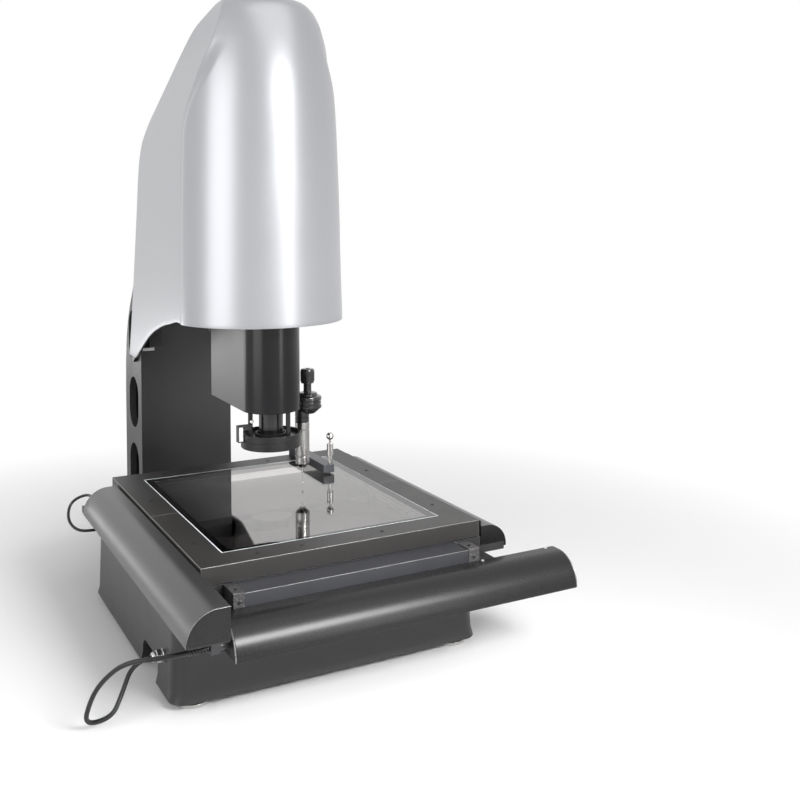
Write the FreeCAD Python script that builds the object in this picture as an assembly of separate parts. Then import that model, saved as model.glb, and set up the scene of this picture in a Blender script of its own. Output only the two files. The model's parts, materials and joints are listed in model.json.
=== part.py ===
"""Vision measuring machine, built as separate pieces in one frame.

Millimetres, X right, Y back, Z up. Heights below are measured from the bench top. Each piece is moved down by
the height of the stage glass when it is saved, so the origin is on the glass, on the lens axis.
"""
import math
import os

import FreeCAD
import Part

V = FreeCAD.Vector
ALONG_X = V(1, 0, 0)
ALONG_Y = V(0, 1, 0)
ALONG_Z = V(0, 0, 1)

# Clearances
RUN = 0.05
SLIDE_GAP = 0.3

# Base casting
BASE_LOW = 10.0
BASE_TOP = 142.0
BASE_HALF = 250.0
BASE_FRONT = -268.0
BASE_REAR = 234.0
BASE_SKIRT_TOP = 24.0
BASE_SKIRT_DRAFT = 3.0
BASE_DRAFT = 7.0
BASE_REAR_DRAFT = 4.0
BASE_CORNER = 25.0
BASE_SIDE_WALL = 10.0
BASE_END_WALL = 12.0
BASE_SECTIONS = (
    (BASE_HALF, BASE_FRONT, BASE_REAR, BASE_LOW),
    (BASE_HALF - BASE_SKIRT_DRAFT, BASE_FRONT + BASE_SKIRT_DRAFT, BASE_REAR - BASE_REAR_DRAFT / 2,
     BASE_SKIRT_TOP),
    (BASE_HALF - BASE_DRAFT, BASE_FRONT + BASE_DRAFT, BASE_REAR - BASE_REAR_DRAFT, BASE_TOP))
BASE_INNER_X = BASE_HALF - BASE_DRAFT - BASE_SIDE_WALL
BASE_INNER_FRONT = BASE_FRONT + BASE_DRAFT + BASE_END_WALL
BASE_INNER_REAR = BASE_REAR - BASE_REAR_DRAFT - BASE_END_WALL
BASE_INNER_CORNER = 14.0
DECK_LOW = 103.0
DECK_TOP = 117.0
RIB_YS = (-66.0, 60.0)
RIB_THICK = 8.0
RIB_LOW = 60.0
ARCH_FRONT = -178.0
ARCH_REAR = -94.0
ARCH_TOP = 45.0
ARCH_R = 15.0
NOTCH_FRONT = 195.0
NOTCH_REAR = 222.0
NOTCH_LOW = 118.0
TAIL_HALF = 130.0
TAIL_REAR = 650.0
TAIL_TOP = 60.0
TAIL_WALL = 12.0
TAIL_ROOF = 14.0

# Feet
FOOT_XY = ((-213.0, -236.0), (213.0, -236.0), (-105.0, 615.0), (105.0, 615.0))
FOOT_R = 25.0
FOOT_PAD = 5.0
FOOT_NUT_R = 11.0
FOOT_STUD_R = 6.0
FOOT_STUD_TOP = 40.0
BOSS_HALF = 20.0

# Column
COLUMN_HALF = 97.0
COLUMN_WALL = 14.0
COLUMN_TOP = 560.0
COLUMN_FRONT = 494.0
COLUMN_OUTER = ((COLUMN_FRONT, TAIL_TOP), (629.0, TAIL_TOP), (629.0, 300.0), (626.0, 360.0), (618.0, 410.0),
                (604.0, 450.0), (586.0, 484.0), (564.0, 513.0), (548.0, 538.0), (540.0, COLUMN_TOP),
                (COLUMN_FRONT, COLUMN_TOP))
COLUMN_INNER = ((508.0, 74.0), (615.0, 74.0), (615.0, 300.0), (612.0, 356.0), (604.0, 404.0), (591.0, 442.0),
                (573.0, 476.0), (552.0, 504.0), (536.0, 530.0), (530.0, 546.0), (508.0, 546.0))
SLOT_Y = 559.0
SLOT_R = 37.5
SLOT_HALF = 54.0
SLOT_ZS = (137.0, 280.0, 424.0)

# Head arm, measured down from its own top and up from the column's
HEAD_TOP = 1056.0
ARM_HALF = 65.0
ARM_FACE = 220.0
ARM_TOP = HEAD_TOP - 156.0
ARM_SIDE = ((ARM_FACE, COLUMN_TOP - 10.0), (300.0, COLUMN_TOP - 40.0), (COLUMN_FRONT, COLUMN_TOP - 40.0),
            (COLUMN_FRONT, COLUMN_TOP), (510.0, COLUMN_TOP), (480.0, ARM_TOP - 210.0),
            (448.0, ARM_TOP - 135.0), (398.0, ARM_TOP - 88.0), (262.0, ARM_TOP), (ARM_FACE, ARM_TOP))
GROOVE_HALF = 22.0
GROOVE_REAR = 255.0
LUGS = ((380.0, 400.0, COLUMN_TOP + 40.0, COLUMN_TOP + 60.0),
        (300.0, 320.0, ARM_TOP - 120.0, ARM_TOP - 100.0))

# Head cover
COVER_WALL = 3.0
NOSE_Y = 55.0
NOSE_LOW = 480.0
NOSE_LOW_R = 146.4
# Nose radius and how far below the top it is measured
NOSE_PROFILE = ((146.0, 552.0), (143.3, 447.0), (141.7, 358.0), (139.0, 274.0), (137.0, 219.0),
                (134.4, 175.0), (129.8, 131.0), (121.2, 81.0), (109.5, 39.0), (97.0, 20.0), (80.5, 8.0),
                (44.6, 0.0))
CREASE_Y = 70.0
# Crease and roof line of the nose: distance back and distance below the top
NOSE_CUT = ((CREASE_Y, 224.0), (-13.0, 42.0), (56.0, 16.0), (20.0, 5.0), (0.0, -4.0))
# Cheeks: distance below the top, rear face, half width there, front edge, half width there
CHEEK_LOW = (380.0, 561.0, 108.0, CREASE_Y, 140.0)
CHEEKS = ((552.0, 531.0, 107.0, CREASE_Y, 139.5), (463.0, 512.0, 106.5, CREASE_Y, 137.0),
          (370.0, 492.0, 106.0, CREASE_Y, 135.0), (276.0, 474.0, 105.0, CREASE_Y, 132.5),
          (234.0, 452.0, 104.5, CREASE_Y, 131.0), (197.0, 410.0, 102.0, 58.0, 128.0),
          (161.0, 341.0, 101.0, 41.0, 124.0), (114.0, 256.0, 98.0, 20.0, 117.0),
          (73.0, 189.0, 94.0, 1.0, 103.0), (39.0, 130.0, 90.0, -12.0, 84.0), (16.0, 62.0, 76.0, 18.0, 78.0))
CHEEK_TUCK = 16.0
CHEEK_TUCK_Y = 10.0
# Lower edge of the cover, from the rim of the nose to the tip beside the column
HEM = ((112.0, 504.0), (130.0, 495.0), (180.0, 488.0), (228.0, 478.0), (292.0, 462.0), (352.0, 441.0),
       (405.0, 418.0), (451.0, 397.0), (470.0, 387.0))
REAR_MOUTH_HALF = COLUMN_HALF + 3.0
REAR_MOUTH_TOP = COLUMN_TOP + 6.0

# Limit bracket on the column
LIMIT_X = (-97.0, -90.0, -72.0, -55.0)
LIMIT_FRONT = 480.0
LIMIT_Z = (447.0, 453.0, 490.0)

# Z axis
Z_RAIL_X = 40.0
RAIL_W = 15.0
RAIL_H = 15.0
Z_RAIL_LOW = 552.0
SCREW_R = 6.0
Z_SCREW_Y = 232.0
Z_SCREW_LOW = 562.0
Z_SCREW_TOP = ARM_TOP - 2.0
BLOCK_H = 24.0
Z_BLOCK_FRONT = 222.0
Z_MOTOR_HALF = 21.0
Z_MOTOR_H = 30.0
CARRIAGE_L = 56.0
CARRIAGE_W = 34.0
CARRIAGE_H = 24.0
CARRIAGE_GROOVE = 11.0
Z_CARRIAGE_ZS = (590.0, 670.0)
LENS_TOP = 650.0
CAMERA_H = 70.0
CAMERA_TOP = LENS_TOP + CAMERA_H
HOUSING_Z = (355.0, CAMERA_TOP + 20.0)
Z_PLATE_HALF = 60.0
Z_PLATE_FRONT = 172.0
Z_PLATE_REAR = 192.0
Z_PLATE_Z = (470.0, HOUSING_Z[1] - 5.0)
Z_NUT_LOW = 615.0
Z_NUT_L = 30.0
Z_NUT_HALF = 18.0
Z_NUT_REACH = 14.0

# Optics
HOUSING_R = 49.5
HOUSING_WALL = 3.0
HOUSING_FLOOR = 6.0
TUBE_R = 21.0
TUBE_LOW = 300.0
TUBE_TOP = 400.0
LENS_R = 20.0
LENS_BORE = 15.0
SHELF_Z = (560.0, 568.0)
RING_R = 26.0
RING_Z = (470.0, 500.0)
ZOOM_MOTOR_R = 15.0
ZOOM_MOTOR_Y = 44.0
ZOOM_MOTOR_Z = (500.0, SHELF_Z[0])
CAMERA_HALF = 22.0
LIGHT_R = 51.0
LIGHT_HOLE = 24.0
LIGHT_Z = (292.0, 310.0, 316.0)
LIGHT_RIM = 4.0
POST_R = 4.0
POST_CIRCLE = 37.0
POST_ANGLES = (180.0, 60.0, -60.0)

# Touch probe
PROBE_XY = (74.5, 40.0)
HEAD_XY = (85.0, 40.0)
HEAD_STACK = ((25.0, 343.0, 348.0), (24.0, 348.0, 356.0), (25.0, 356.0, 364.0), (18.0, 364.0, 370.0),
              (7.0, 370.0, 387.0), (12.5, 387.0, 412.0))
HEAD_TAPER = (14.0, 333.0)
COLLAR_R = 12.5
COLLAR_Z = (318.0, 343.0)
PROBE_R = 12.7
PROBE_Z = (236.0, 318.0)
PROBE_GROOVE_Z = 258.0
STYLUS_R = 1.0
STYLUS_BALL = 2.0
STYLUS_TIP = 206.0

# Backlight
LAMP_R = 34.0
LAMP_Z = (60.0, 165.0)
LAMP_FLANGE = 42.0
LAMP_FLANGE_H = 4.0

# Electronics under the deck, and the panel behind
ELECTRONICS = (-200.0, 200.0, 80.0, 200.0, 40.0)
PANEL_X = (150.0, 225.0)
PANEL_Z = (35.0, 95.0)
PANEL_REAR = BASE_REAR + 5.0

# X axis
X_RAIL_YS = (-180.0, 150.0)
X_RAIL_HALF = BASE_INNER_X - 3.0
X_CARRIAGE_XS = (-32.0, 72.0)
X_SCREW_Y = -343.0
X_SCREW_Z = 128.0
X_SCREW_X = (-193.0, 215.0)
X_BLOCK_XS = (-192.0, 205.0)
X_BLOCK_L = 12.0
X_BLOCK_Y = (-352.0, -318.0)
X_MOTOR_R = 16.5
X_MOTOR_X = (217.0, 330.0)
X_NUT_HALF = 22.0

# Drive covers: arc centre across, arc centre up, radius, inner edge, bottom, ends
SHEET = 2.0
COVER_R = 46.0
FRONT_COVER_LEFT = -197.0
FRONT_COVER_RIGHT = 362.0
FRONT_COVER = (-332.0, 107.0, COVER_R, -314.3, 106.0, FRONT_COVER_LEFT, FRONT_COVER_RIGHT)
LEFT_COVER_R = 44.0
LEFT_COVER_FRONT = -403.0
LEFT_COVER_REAR = 228.0
LEFT_COVER = (-226.5, 151.0, LEFT_COVER_R, -211.0, 150.5, LEFT_COVER_FRONT, LEFT_COVER_REAR)
RIGHT_COVER_R = 34.0
RIGHT_COVER_FRONT = -268.0
RIGHT_COVER_REAR = 240.0
RIGHT_COVER = (268.0, 154.0, RIGHT_COVER_R, 254.0, 150.0, RIGHT_COVER_FRONT, RIGHT_COVER_REAR)
LIP_TOP = 196.6

# Saddle
SADDLE_X = (-266.0, 298.0)
SADDLE_Y = (-268.0, 262.0)
SADDLE_Z = (145.0, 157.0)
SADDLE_WINDOW = (-172.0, 212.0, -50.0, 50.0)
UPSTAND = (-209.0, 252.0, -269.0, -257.0, SADDLE_Z[1], 172.5)
TONGUE = (SADDLE_X[0], -212.0, LEFT_COVER_FRONT + SHEET, SADDLE_Y[0], 148.0, 152.0)
LEDGE = (FRONT_COVER_LEFT + SHEET, UPSTAND[1], -330.0, SADDLE_Y[0], SADDLE_Z[0],
         FRONT_COVER[1] + COVER_R - SHEET)

# Y axis
Y_RAIL_XS = (-185.0, 225.0)
Y_RAIL_HALF = 256.0
Y_CARRIAGE_YS = (-78.0, 78.0)
Y_SCREW_X = -240.0
Y_SCREW_Z = 168.0
Y_SCREW_Y = (-296.0, 215.0)
Y_BLOCK_YS = (-297.0, 203.0)
Y_MOTOR_R = 15.5
Y_MOTOR_FRONT = -395.0
Y_NUT_HALF = 22.0
Y_NUT_REACH = 80.0

# Table
TABLE_X = (-207.0, 247.0)
TABLE_Y = (-268.0, 268.0)
TABLE_Z = (185.0, 198.0)
TABLE_WINDOW = (-147.5, 187.5, -206.5, 206.5)
GLASS = (-163.0, 202.0, -221.0, 222.0, 192.0, 200.0)
GLASS_GAP = 0.3
TRIM = 2.0
TRIM_SEAM_Y = -1.0
TRIM_SKIRT = 174.0
SCREW_XY = ((-185.0, 87.0), (-186.0, -162.0), (-117.0, 245.0), (-47.0, 243.0), (225.0, 87.0), (225.0, -162.0),
            (-117.0, -245.0), (-47.0, -245.0), (87.0, -245.0), (87.0, 245.0))
TRIM_SCREW_R = 4.5
TRIM_SCREW_H = 0.8
BAR = (141.0, 163.0, 97.0, 268.0, 200.0, 218.0)
BAR_CLEAR = 2.5
BALL_XYZ = (157.0, 103.0, 270.0)
BALL_R = 7.0
STOP_X = (-60.0, -42.0)
STOP_L = 6.0
STOP_H = 2.5

# Scale housing
SCALE_STRIP = (-162.0, 202.0, -314.0, -270.0, 151.0, 172.0)
SCALE_ENDS = ((-177.0, SCALE_STRIP[0]), (SCALE_STRIP[1], 220.0))
SCALE_END_TOP = 173.0

# Cables
CABLE_R = 3.25
REAR_CABLE_R = 2.5
RELIEF_TIP = (-252.0, -346.0, 120.0)
RELIEF_L = 30.0
RELIEF_R = 3.6
RELIEF_RIB_R = 4.8
RELIEF_RIBS = 7
PLUG_L = 13.0
PLUG_HALF = 8.0
PLUG_NECK_R = 5.0
GLAND_R = 9.0
GLAND_NUT = 6.0
GLAND_L = 20.0
SOCKET = 16.0
SOCKET_L = 20.0
GLAND_X = -BASE_HALF - 14.0
SOCKET_X = -BASE_INNER_X + 7.0
FRONT_PATH = (RELIEF_TIP, (-284.0, -346.0, 120.0), (-326.0, -318.0, 113.0), (-350.0, -290.0, 82.0),
              (-362.0, -274.0, 52.0), (-368.0, -258.0, 12.0), (-328.0, -246.0, 8.0), (-312.0, -232.0, 28.0),
              (GLAND_X - 26.0, -209.0, 62.0), (GLAND_X, -209.0, 62.0))
REAR_PATH = ((-255.0, 228.0, 180.0), (-255.0, 256.0, 180.0), (-286.0, 262.0, 168.0), (-296.0, 242.0, 142.0),
             (-284.0, 216.0, 126.0), (SOCKET_X - 28.0, 208.0, 125.5), (SOCKET_X, 208.0, 125.5))


def box(x0, x1, y0, y1, z0, z1):
    return Part.makeBox(x1 - x0, y1 - y0, z1 - z0, V(x0, y0, z0))


def rod(radius, start, axis, length):
    return Part.makeCylinder(radius, length, V(*start), axis)


def at(axis, across, up, along):
    """Point from a section's own two coordinates and the distance along its axis."""
    if axis == ALONG_X:
        return V(along, across, up)
    if axis == ALONG_Y:
        return V(across, along, up)
    return V(across, up, along)


def prism(points, axis, low, high):
    corners = [at(axis, point[0], point[1], low) for point in points]
    face = Part.Face(Part.makePolygon(corners + corners[:1]))
    return face.extrude(axis * (high - low))


def join(shapes):
    return shapes[0].multiFuse(shapes[1:]).removeSplitter()


def group(shapes):
    return Part.makeCompound(shapes)


def rounded_wire(half, front, rear, height, radius):
    left = -half + radius
    right = half - radius
    low = front + radius
    high = rear - radius
    slant = radius * math.sqrt(0.5)
    lines = ((V(left, front, height), V(right, front, height)), (V(half, low, height), V(half, high, height)),
             (V(right, rear, height), V(left, rear, height)), (V(-half, high, height), V(-half, low, height)))
    middles = (V(right + slant, low - slant, height), V(right + slant, high + slant, height),
               V(left - slant, high + slant, height), V(left - slant, low - slant, height))
    edges = []
    for index in range(4):
        edges.append(Part.makeLine(*lines[index]))
        edges.append(Part.Arc(lines[index][1], middles[index], lines[(index + 1) % 4][0]).toShape())
    return Part.Wire(edges)


def rounded_box(half, front, rear, low, high, radius):
    return Part.Face(rounded_wire(half, front, rear, low, radius)).extrude(V(0, 0, high - low))


def quarter_solid(axis, centre, up, radius, inner, bottom, low, high):
    """Solid under a flat top that rolls over a quarter circle to a vertical side."""
    side = 1 if centre > inner else -1
    edge = centre + side * radius
    slant = radius * math.sqrt(0.5)
    edges = [
        Part.makeLine(at(axis, edge, bottom, low), at(axis, edge, up, low)),
        Part.Arc(at(axis, edge, up, low), at(axis, centre + side * slant, up + slant, low),
                 at(axis, centre, up + radius, low)).toShape(),
        Part.makeLine(at(axis, centre, up + radius, low), at(axis, inner, up + radius, low)),
        Part.makeLine(at(axis, inner, up + radius, low), at(axis, inner, bottom, low)),
        Part.makeLine(at(axis, inner, bottom, low), at(axis, edge, bottom, low)),
    ]
    return Part.Face(Part.Wire(edges)).extrude(axis * (high - low))


def cover_sheet(axis, cover):
    centre, up, radius, inner, bottom, low, high = cover
    open_side = 1 if centre > inner else -1
    outer = quarter_solid(axis, centre, up, radius, inner, bottom, low + SHEET, high - SHEET)
    space = quarter_solid(axis, centre, up, radius - SHEET, inner - open_side * 10, bottom - 10, low, high)
    return outer.cut(space)


def cover_caps(axis, cover):
    """End plates of a drive cover, cut clear of the saddle plate they stand on."""
    centre, up, radius, inner, bottom, low, high = cover
    plate = box(*SADDLE_X, *SADDLE_Y, *SADDLE_Z)
    return group([quarter_solid(axis, centre, up, radius, inner, bottom, start, start + SHEET).cut(plate)
                  for start in (low, high - SHEET)])


def rail_along(axis, across, low_face, half, centre=0.0):
    """Rail standing on a horizontal face."""
    lower = at(axis, across - RAIL_W / 2, low_face, centre - half)
    if axis == ALONG_X:
        return Part.makeBox(2 * half, RAIL_W, RAIL_H, lower)
    return Part.makeBox(RAIL_W, 2 * half, RAIL_H, lower)


def carriage(axis, along, across, top):
    """Carriage that straddles a rail, with its top face at the given height."""
    bottom = top - CARRIAGE_H
    groove_w = RAIL_W + 2 * SLIDE_GAP
    groove_top = bottom + CARRIAGE_GROOVE + SLIDE_GAP
    section = [(across - CARRIAGE_W / 2, bottom), (across - groove_w / 2, bottom),
               (across - groove_w / 2, groove_top), (across + groove_w / 2, groove_top),
               (across + groove_w / 2, bottom), (across + CARRIAGE_W / 2, bottom),
               (across + CARRIAGE_W / 2, top), (across - CARRIAGE_W / 2, top)]
    return prism(section, axis, along - CARRIAGE_L / 2, along + CARRIAGE_L / 2)


def corner_arc(before, corner, after, share):
    """Tangent arc that rounds a corner, with its two ends and its radius."""
    inward = (before - corner).normalize()
    outward = (after - corner).normalize()
    half_angle = inward.getAngle(outward) / 2
    start = corner + inward * share
    end = corner + outward * share
    radius = share * math.tan(half_angle)
    bisector = (inward + outward).normalize()
    middle = corner + bisector * (share / math.cos(half_angle) - radius)
    return start, middle, end, radius


def cord(path, radius):
    points = [V(*point) for point in path]
    runs = [(points[index + 1] - points[index]).Length for index in range(len(points) - 1)]
    edges = []
    bends = []
    last = points[0]
    for index in range(1, len(points) - 1):
        share = 0.45 * min(runs[index - 1], runs[index])
        start, middle, end, bend = corner_arc(points[index - 1], points[index], points[index + 1], share)
        edges.append(Part.makeLine(last, start))
        edges.append(Part.Arc(start, middle, end).toShape())
        bends.append(bend)
        last = end
    edges.append(Part.makeLine(last, points[-1]))
    spine = Part.Wire(edges)
    ring = Part.Wire([Part.makeCircle(radius, points[0], points[1] - points[0])])
    tube = spine.makePipeShell([ring], True, True)
    share_volume = tube.Volume / (math.pi * radius * radius * spine.Length)
    print("cord radii", [round(bend, 1) for bend in bends], "volume share", round(share_volume, 4))
    return tube


def save(name, shape):
    placed = shape.translated(V(0, 0, -GLASS[5]))
    placed.exportStep("parts/" + name + ".step")
    print(name, len(shape.Solids), shape.isValid(), round(shape.Volume / 1000, 1))


def base_outer():
    wires = [rounded_wire(*section, BASE_CORNER) for section in BASE_SECTIONS]
    return Part.makeLoft(wires, True, True)


def arch_tool(low, high):
    opening = box(low, high, ARCH_FRONT, ARCH_REAR, BASE_LOW - 1, ARCH_TOP - ARCH_R)
    crown = box(low, high, ARCH_FRONT + ARCH_R, ARCH_REAR - ARCH_R, BASE_LOW - 1, ARCH_TOP)
    ends = [rod(ARCH_R, (low, centre, ARCH_TOP - ARCH_R), ALONG_X, high - low)
            for centre in (ARCH_FRONT + ARCH_R, ARCH_REAR - ARCH_R)]
    return join([opening, crown] + ends)


def base_casting(outer):
    inside = (BASE_INNER_X, BASE_INNER_FRONT, BASE_INNER_REAR)
    cavity = rounded_box(*inside, BASE_LOW - 1, DECK_LOW, BASE_INNER_CORNER)
    well = rounded_box(*inside, DECK_TOP, BASE_TOP + 1, BASE_INNER_CORNER)
    body = outer.cut(cavity).cut(well)
    tail_front = BASE_INNER_REAR + 4
    tail = box(-TAIL_HALF, TAIL_HALF, tail_front, TAIL_REAR, BASE_LOW, TAIL_TOP)
    tail_space = box(-TAIL_HALF + TAIL_WALL, TAIL_HALF - TAIL_WALL, tail_front + TAIL_WALL,
                     TAIL_REAR - TAIL_WALL, BASE_LOW - 1, TAIL_TOP - TAIL_ROOF)
    ribs = [box(-BASE_INNER_X, BASE_INNER_X, y, y + RIB_THICK, RIB_LOW, DECK_LOW) for y in RIB_YS]
    bosses = []
    for x, y in FOOT_XY:
        top = DECK_LOW if y < 0 else TAIL_TOP
        boss = box(x - BOSS_HALF, x + BOSS_HALF, y - BOSS_HALF, y + BOSS_HALF, BASE_LOW, top)
        bosses.append(boss.common(join([outer, tail])))
    body = join([body, tail.cut(tail_space)] + ribs + bosses)
    lamp_hole = rod(LAMP_R + RUN, (0, 0, DECK_LOW - 1), ALONG_Z, DECK_TOP - DECK_LOW + 2)
    notch = box(-BASE_HALF, -BASE_INNER_X + 4, NOTCH_FRONT, NOTCH_REAR, NOTCH_LOW, BASE_TOP + 1)
    reach = BASE_HALF + 10
    wall = BASE_INNER_X - 8
    tools = [arch_tool(-reach, -wall), arch_tool(wall, reach), lamp_hole, notch]
    for x, y in FOOT_XY:
        tools.append(rod(FOOT_STUD_R + RUN, (x, y, BASE_LOW - 1), ALONG_Z, FOOT_STUD_TOP - BASE_LOW + 3))
    return body.cut(tools).removeSplitter()


def foot(x, y):
    pad = rod(FOOT_R, (x, y, 0), ALONG_Z, FOOT_PAD)
    turns = [math.radians(60 * k) for k in range(6)]
    corners = [(x + FOOT_NUT_R * math.cos(turn), y + FOOT_NUT_R * math.sin(turn)) for turn in turns]
    nut = prism(corners, ALONG_Z, FOOT_PAD, BASE_LOW)
    stud = rod(FOOT_STUD_R, (x, y, FOOT_PAD), ALONG_Z, FOOT_STUD_TOP - FOOT_PAD)
    return join([pad, nut, stud])


def column():
    outer = prism(COLUMN_OUTER, ALONG_X, -COLUMN_HALF, COLUMN_HALF)
    inner = prism(COLUMN_INNER, ALONG_X, -COLUMN_HALF + COLUMN_WALL, COLUMN_HALF - COLUMN_WALL)
    straight = SLOT_HALF - SLOT_R
    start = -COLUMN_HALF - 1
    width = 2 * COLUMN_HALF + 2
    slots = []
    for z in SLOT_ZS:
        middle = box(start, start + width, SLOT_Y - SLOT_R, SLOT_Y + SLOT_R, z - straight, z + straight)
        ends = [rod(SLOT_R, (start, SLOT_Y, z + end), ALONG_X, width) for end in (-straight, straight)]
        slots.append(join([middle] + ends))
    return outer.cut([inner] + slots)


def nose_solid(inset):
    points = [V(NOSE_LOW_R - inset, NOSE_Y, NOSE_LOW)]
    points += [V(radius - inset, NOSE_Y, HEAD_TOP - drop) for radius, drop in NOSE_PROFILE[:-1]]
    points.append(V(NOSE_PROFILE[-1][0] - inset, NOSE_Y, HEAD_TOP - inset))
    curve = Part.BSplineCurve()
    curve.interpolate(points)
    low_centre = V(0, NOSE_Y, NOSE_LOW)
    high_centre = V(0, NOSE_Y, HEAD_TOP - inset)
    wire = Part.Wire([curve.toShape(), Part.makeLine(points[-1], high_centre),
                      Part.makeLine(high_centre, low_centre), Part.makeLine(low_centre, points[0])])
    turned = Part.Face(wire).revolve(V(0, NOSE_Y, 0), ALONG_Z, 360)
    far_front = NOSE_Y - 2 * NOSE_LOW_R
    region = [(far_front, NOSE_LOW - inset), (CREASE_Y - inset, NOSE_LOW - inset)]
    region += [(y - inset, HEAD_TOP - drop - inset) for y, drop in NOSE_CUT]
    region.append((far_front, HEAD_TOP + inset))
    return turned.common(prism(region, ALONG_X, -2 * NOSE_LOW_R, 2 * NOSE_LOW_R))


def cheek_solid(inset):
    wires = []
    levels = [CHEEK_LOW] + [(HEAD_TOP - row[0],) + row[1:] for row in CHEEKS]
    for height, rear, rear_half, front, front_half in levels:
        level = height - (inset if height == levels[-1][0] else 0)
        side = [(rear_half - inset, rear - inset), (front_half - inset, front),
                (front_half - inset - CHEEK_TUCK, front - CHEEK_TUCK_Y)]
        corners = [V(x, y, level) for x, y in side] + [V(-x, y, level) for x, y in reversed(side)]
        wires.append(Part.makePolygon(corners + corners[:1]))
    return Part.makeLoft(wires, True, True)


def cover_solid(inset):
    return nose_solid(inset).fuse(cheek_solid(inset))


def head_cover(inner):
    """Thin shell, open below along its hem and behind where it passes the column."""
    tip_low, tip_rear = CHEEK_LOW[:2]
    low = tip_low - 10
    front = NOSE_Y - 2 * NOSE_LOW_R
    mouth = box(-REAR_MOUTH_HALF, REAR_MOUTH_HALF, HEM[-1][0], tip_rear + 10, low, REAR_MOUTH_TOP)
    corners = [(front, low), (front, HEM[0][1])] + list(HEM)
    corners += [(tip_rear + 10, tip_low + 5), (tip_rear + 10, low)]
    hem = prism(corners, ALONG_X, -2 * NOSE_LOW_R, 2 * NOSE_LOW_R)
    return cover_solid(0).cut([inner, hem, mouth])


def head_arm(inner):
    body = prism(ARM_SIDE, ALONG_X, -ARM_HALF, ARM_HALF)
    lugs = [box(-NOSE_LOW_R, NOSE_LOW_R, *lug).common(inner) for lug in LUGS]
    groove = box(-GROOVE_HALF, GROOVE_HALF, ARM_FACE - 1, GROOVE_REAR, ARM_SIDE[1][1] - 1, ARM_TOP + 1)
    return join([body] + lugs).cut(groove)


def limit_bracket():
    bar = box(LIMIT_X[0], LIMIT_X[2], LIMIT_FRONT - 3, COLUMN_FRONT, LIMIT_Z[0], LIMIT_Z[1])
    block = box(LIMIT_X[1], LIMIT_X[3], LIMIT_FRONT, COLUMN_FRONT, LIMIT_Z[1], LIMIT_Z[2])
    return join([bar, block])


def z_rails():
    return group([box(x - RAIL_W / 2, x + RAIL_W / 2, ARM_FACE - RAIL_H, ARM_FACE, Z_RAIL_LOW, ARM_TOP)
                  for x in (-Z_RAIL_X, Z_RAIL_X)])


def z_carriages():
    blocks = []
    for x in (-Z_RAIL_X, Z_RAIL_X):
        for z in Z_CARRIAGE_ZS:
            block = box(x - CARRIAGE_W / 2, x + CARRIAGE_W / 2, Z_PLATE_REAR, Z_PLATE_REAR + CARRIAGE_H,
                        z - CARRIAGE_L / 2, z + CARRIAGE_L / 2)
            groove = box(x - RAIL_W / 2 - SLIDE_GAP, x + RAIL_W / 2 + SLIDE_GAP,
                         ARM_FACE - RAIL_H - SLIDE_GAP, ARM_FACE, z - CARRIAGE_L / 2, z + CARRIAGE_L / 2)
            blocks.append(block.cut(groove))
    return group(blocks)


def bored(body, radius, start, axis, length):
    return body.cut(rod(radius + RUN, start, axis, length))


def z_bearing_blocks():
    blocks = []
    for low in (Z_SCREW_LOW - 2, Z_SCREW_TOP + 2 - BLOCK_H):
        body = box(-GROOVE_HALF, GROOVE_HALF, Z_BLOCK_FRONT, GROOVE_REAR, low, low + BLOCK_H)
        blocks.append(bored(body, SCREW_R, (0, Z_SCREW_Y, low - 1), ALONG_Z, BLOCK_H + 2))
    return group(blocks)


def optics_housing():
    def d_shape(radius, rear, low, high):
        return join([box(-radius, radius, 0, rear, low, high), rod(radius, (0, 0, low), ALONG_Z, high - low)])
    outer = d_shape(HOUSING_R, Z_PLATE_FRONT, *HOUSING_Z)
    inner = d_shape(HOUSING_R - HOUSING_WALL, Z_PLATE_FRONT - HOUSING_WALL, HOUSING_Z[0] + HOUSING_FLOOR,
                    HOUSING_Z[1] - HOUSING_WALL)
    hole = rod(TUBE_R + RUN, (0, 0, HOUSING_Z[0] - 1), ALONG_Z, HOUSING_FLOOR + 2)
    return outer.cut([inner, hole])


def zoom_lens_body():
    barrel = rod(LENS_R, (0, 0, TUBE_TOP), ALONG_Z, LENS_TOP - TUBE_TOP)
    half = HOUSING_R - HOUSING_WALL
    shelf = box(-half, half, 0, Z_PLATE_FRONT - HOUSING_WALL, *SHELF_Z)
    bore = rod(LENS_BORE, (0, 0, TUBE_TOP - 1), ALONG_Z, LENS_TOP - TUBE_TOP + 2)
    return join([barrel, shelf]).cut(bore)


def zoom_ring():
    ring = rod(RING_R, (0, 0, RING_Z[0]), ALONG_Z, RING_Z[1] - RING_Z[0])
    return bored(ring, LENS_R, (0, 0, RING_Z[0] - 1), ALONG_Z, RING_Z[1] - RING_Z[0] + 2)


def objective_tube():
    upper = rod(TUBE_R, (0, 0, TUBE_LOW), ALONG_Z, TUBE_TOP - TUBE_LOW)
    bore = rod(LENS_BORE, (0, 0, TUBE_LOW + 4), ALONG_Z, TUBE_TOP - TUBE_LOW)
    return upper.cut(bore)


def ring_light():
    low, recess, top = LIGHT_Z
    body = rod(LIGHT_R, (0, 0, low), ALONG_Z, top - low)
    dish = rod(LIGHT_R - LIGHT_RIM, (0, 0, recess), ALONG_Z, top - recess + 1)
    hub = rod(LIGHT_HOLE + 3, (0, 0, recess), ALONG_Z, top - recess)
    hole = rod(LIGHT_HOLE, (0, 0, low - 1), ALONG_Z, top - low + 2)
    return join([body.cut(dish), hub]).cut(hole)


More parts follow.
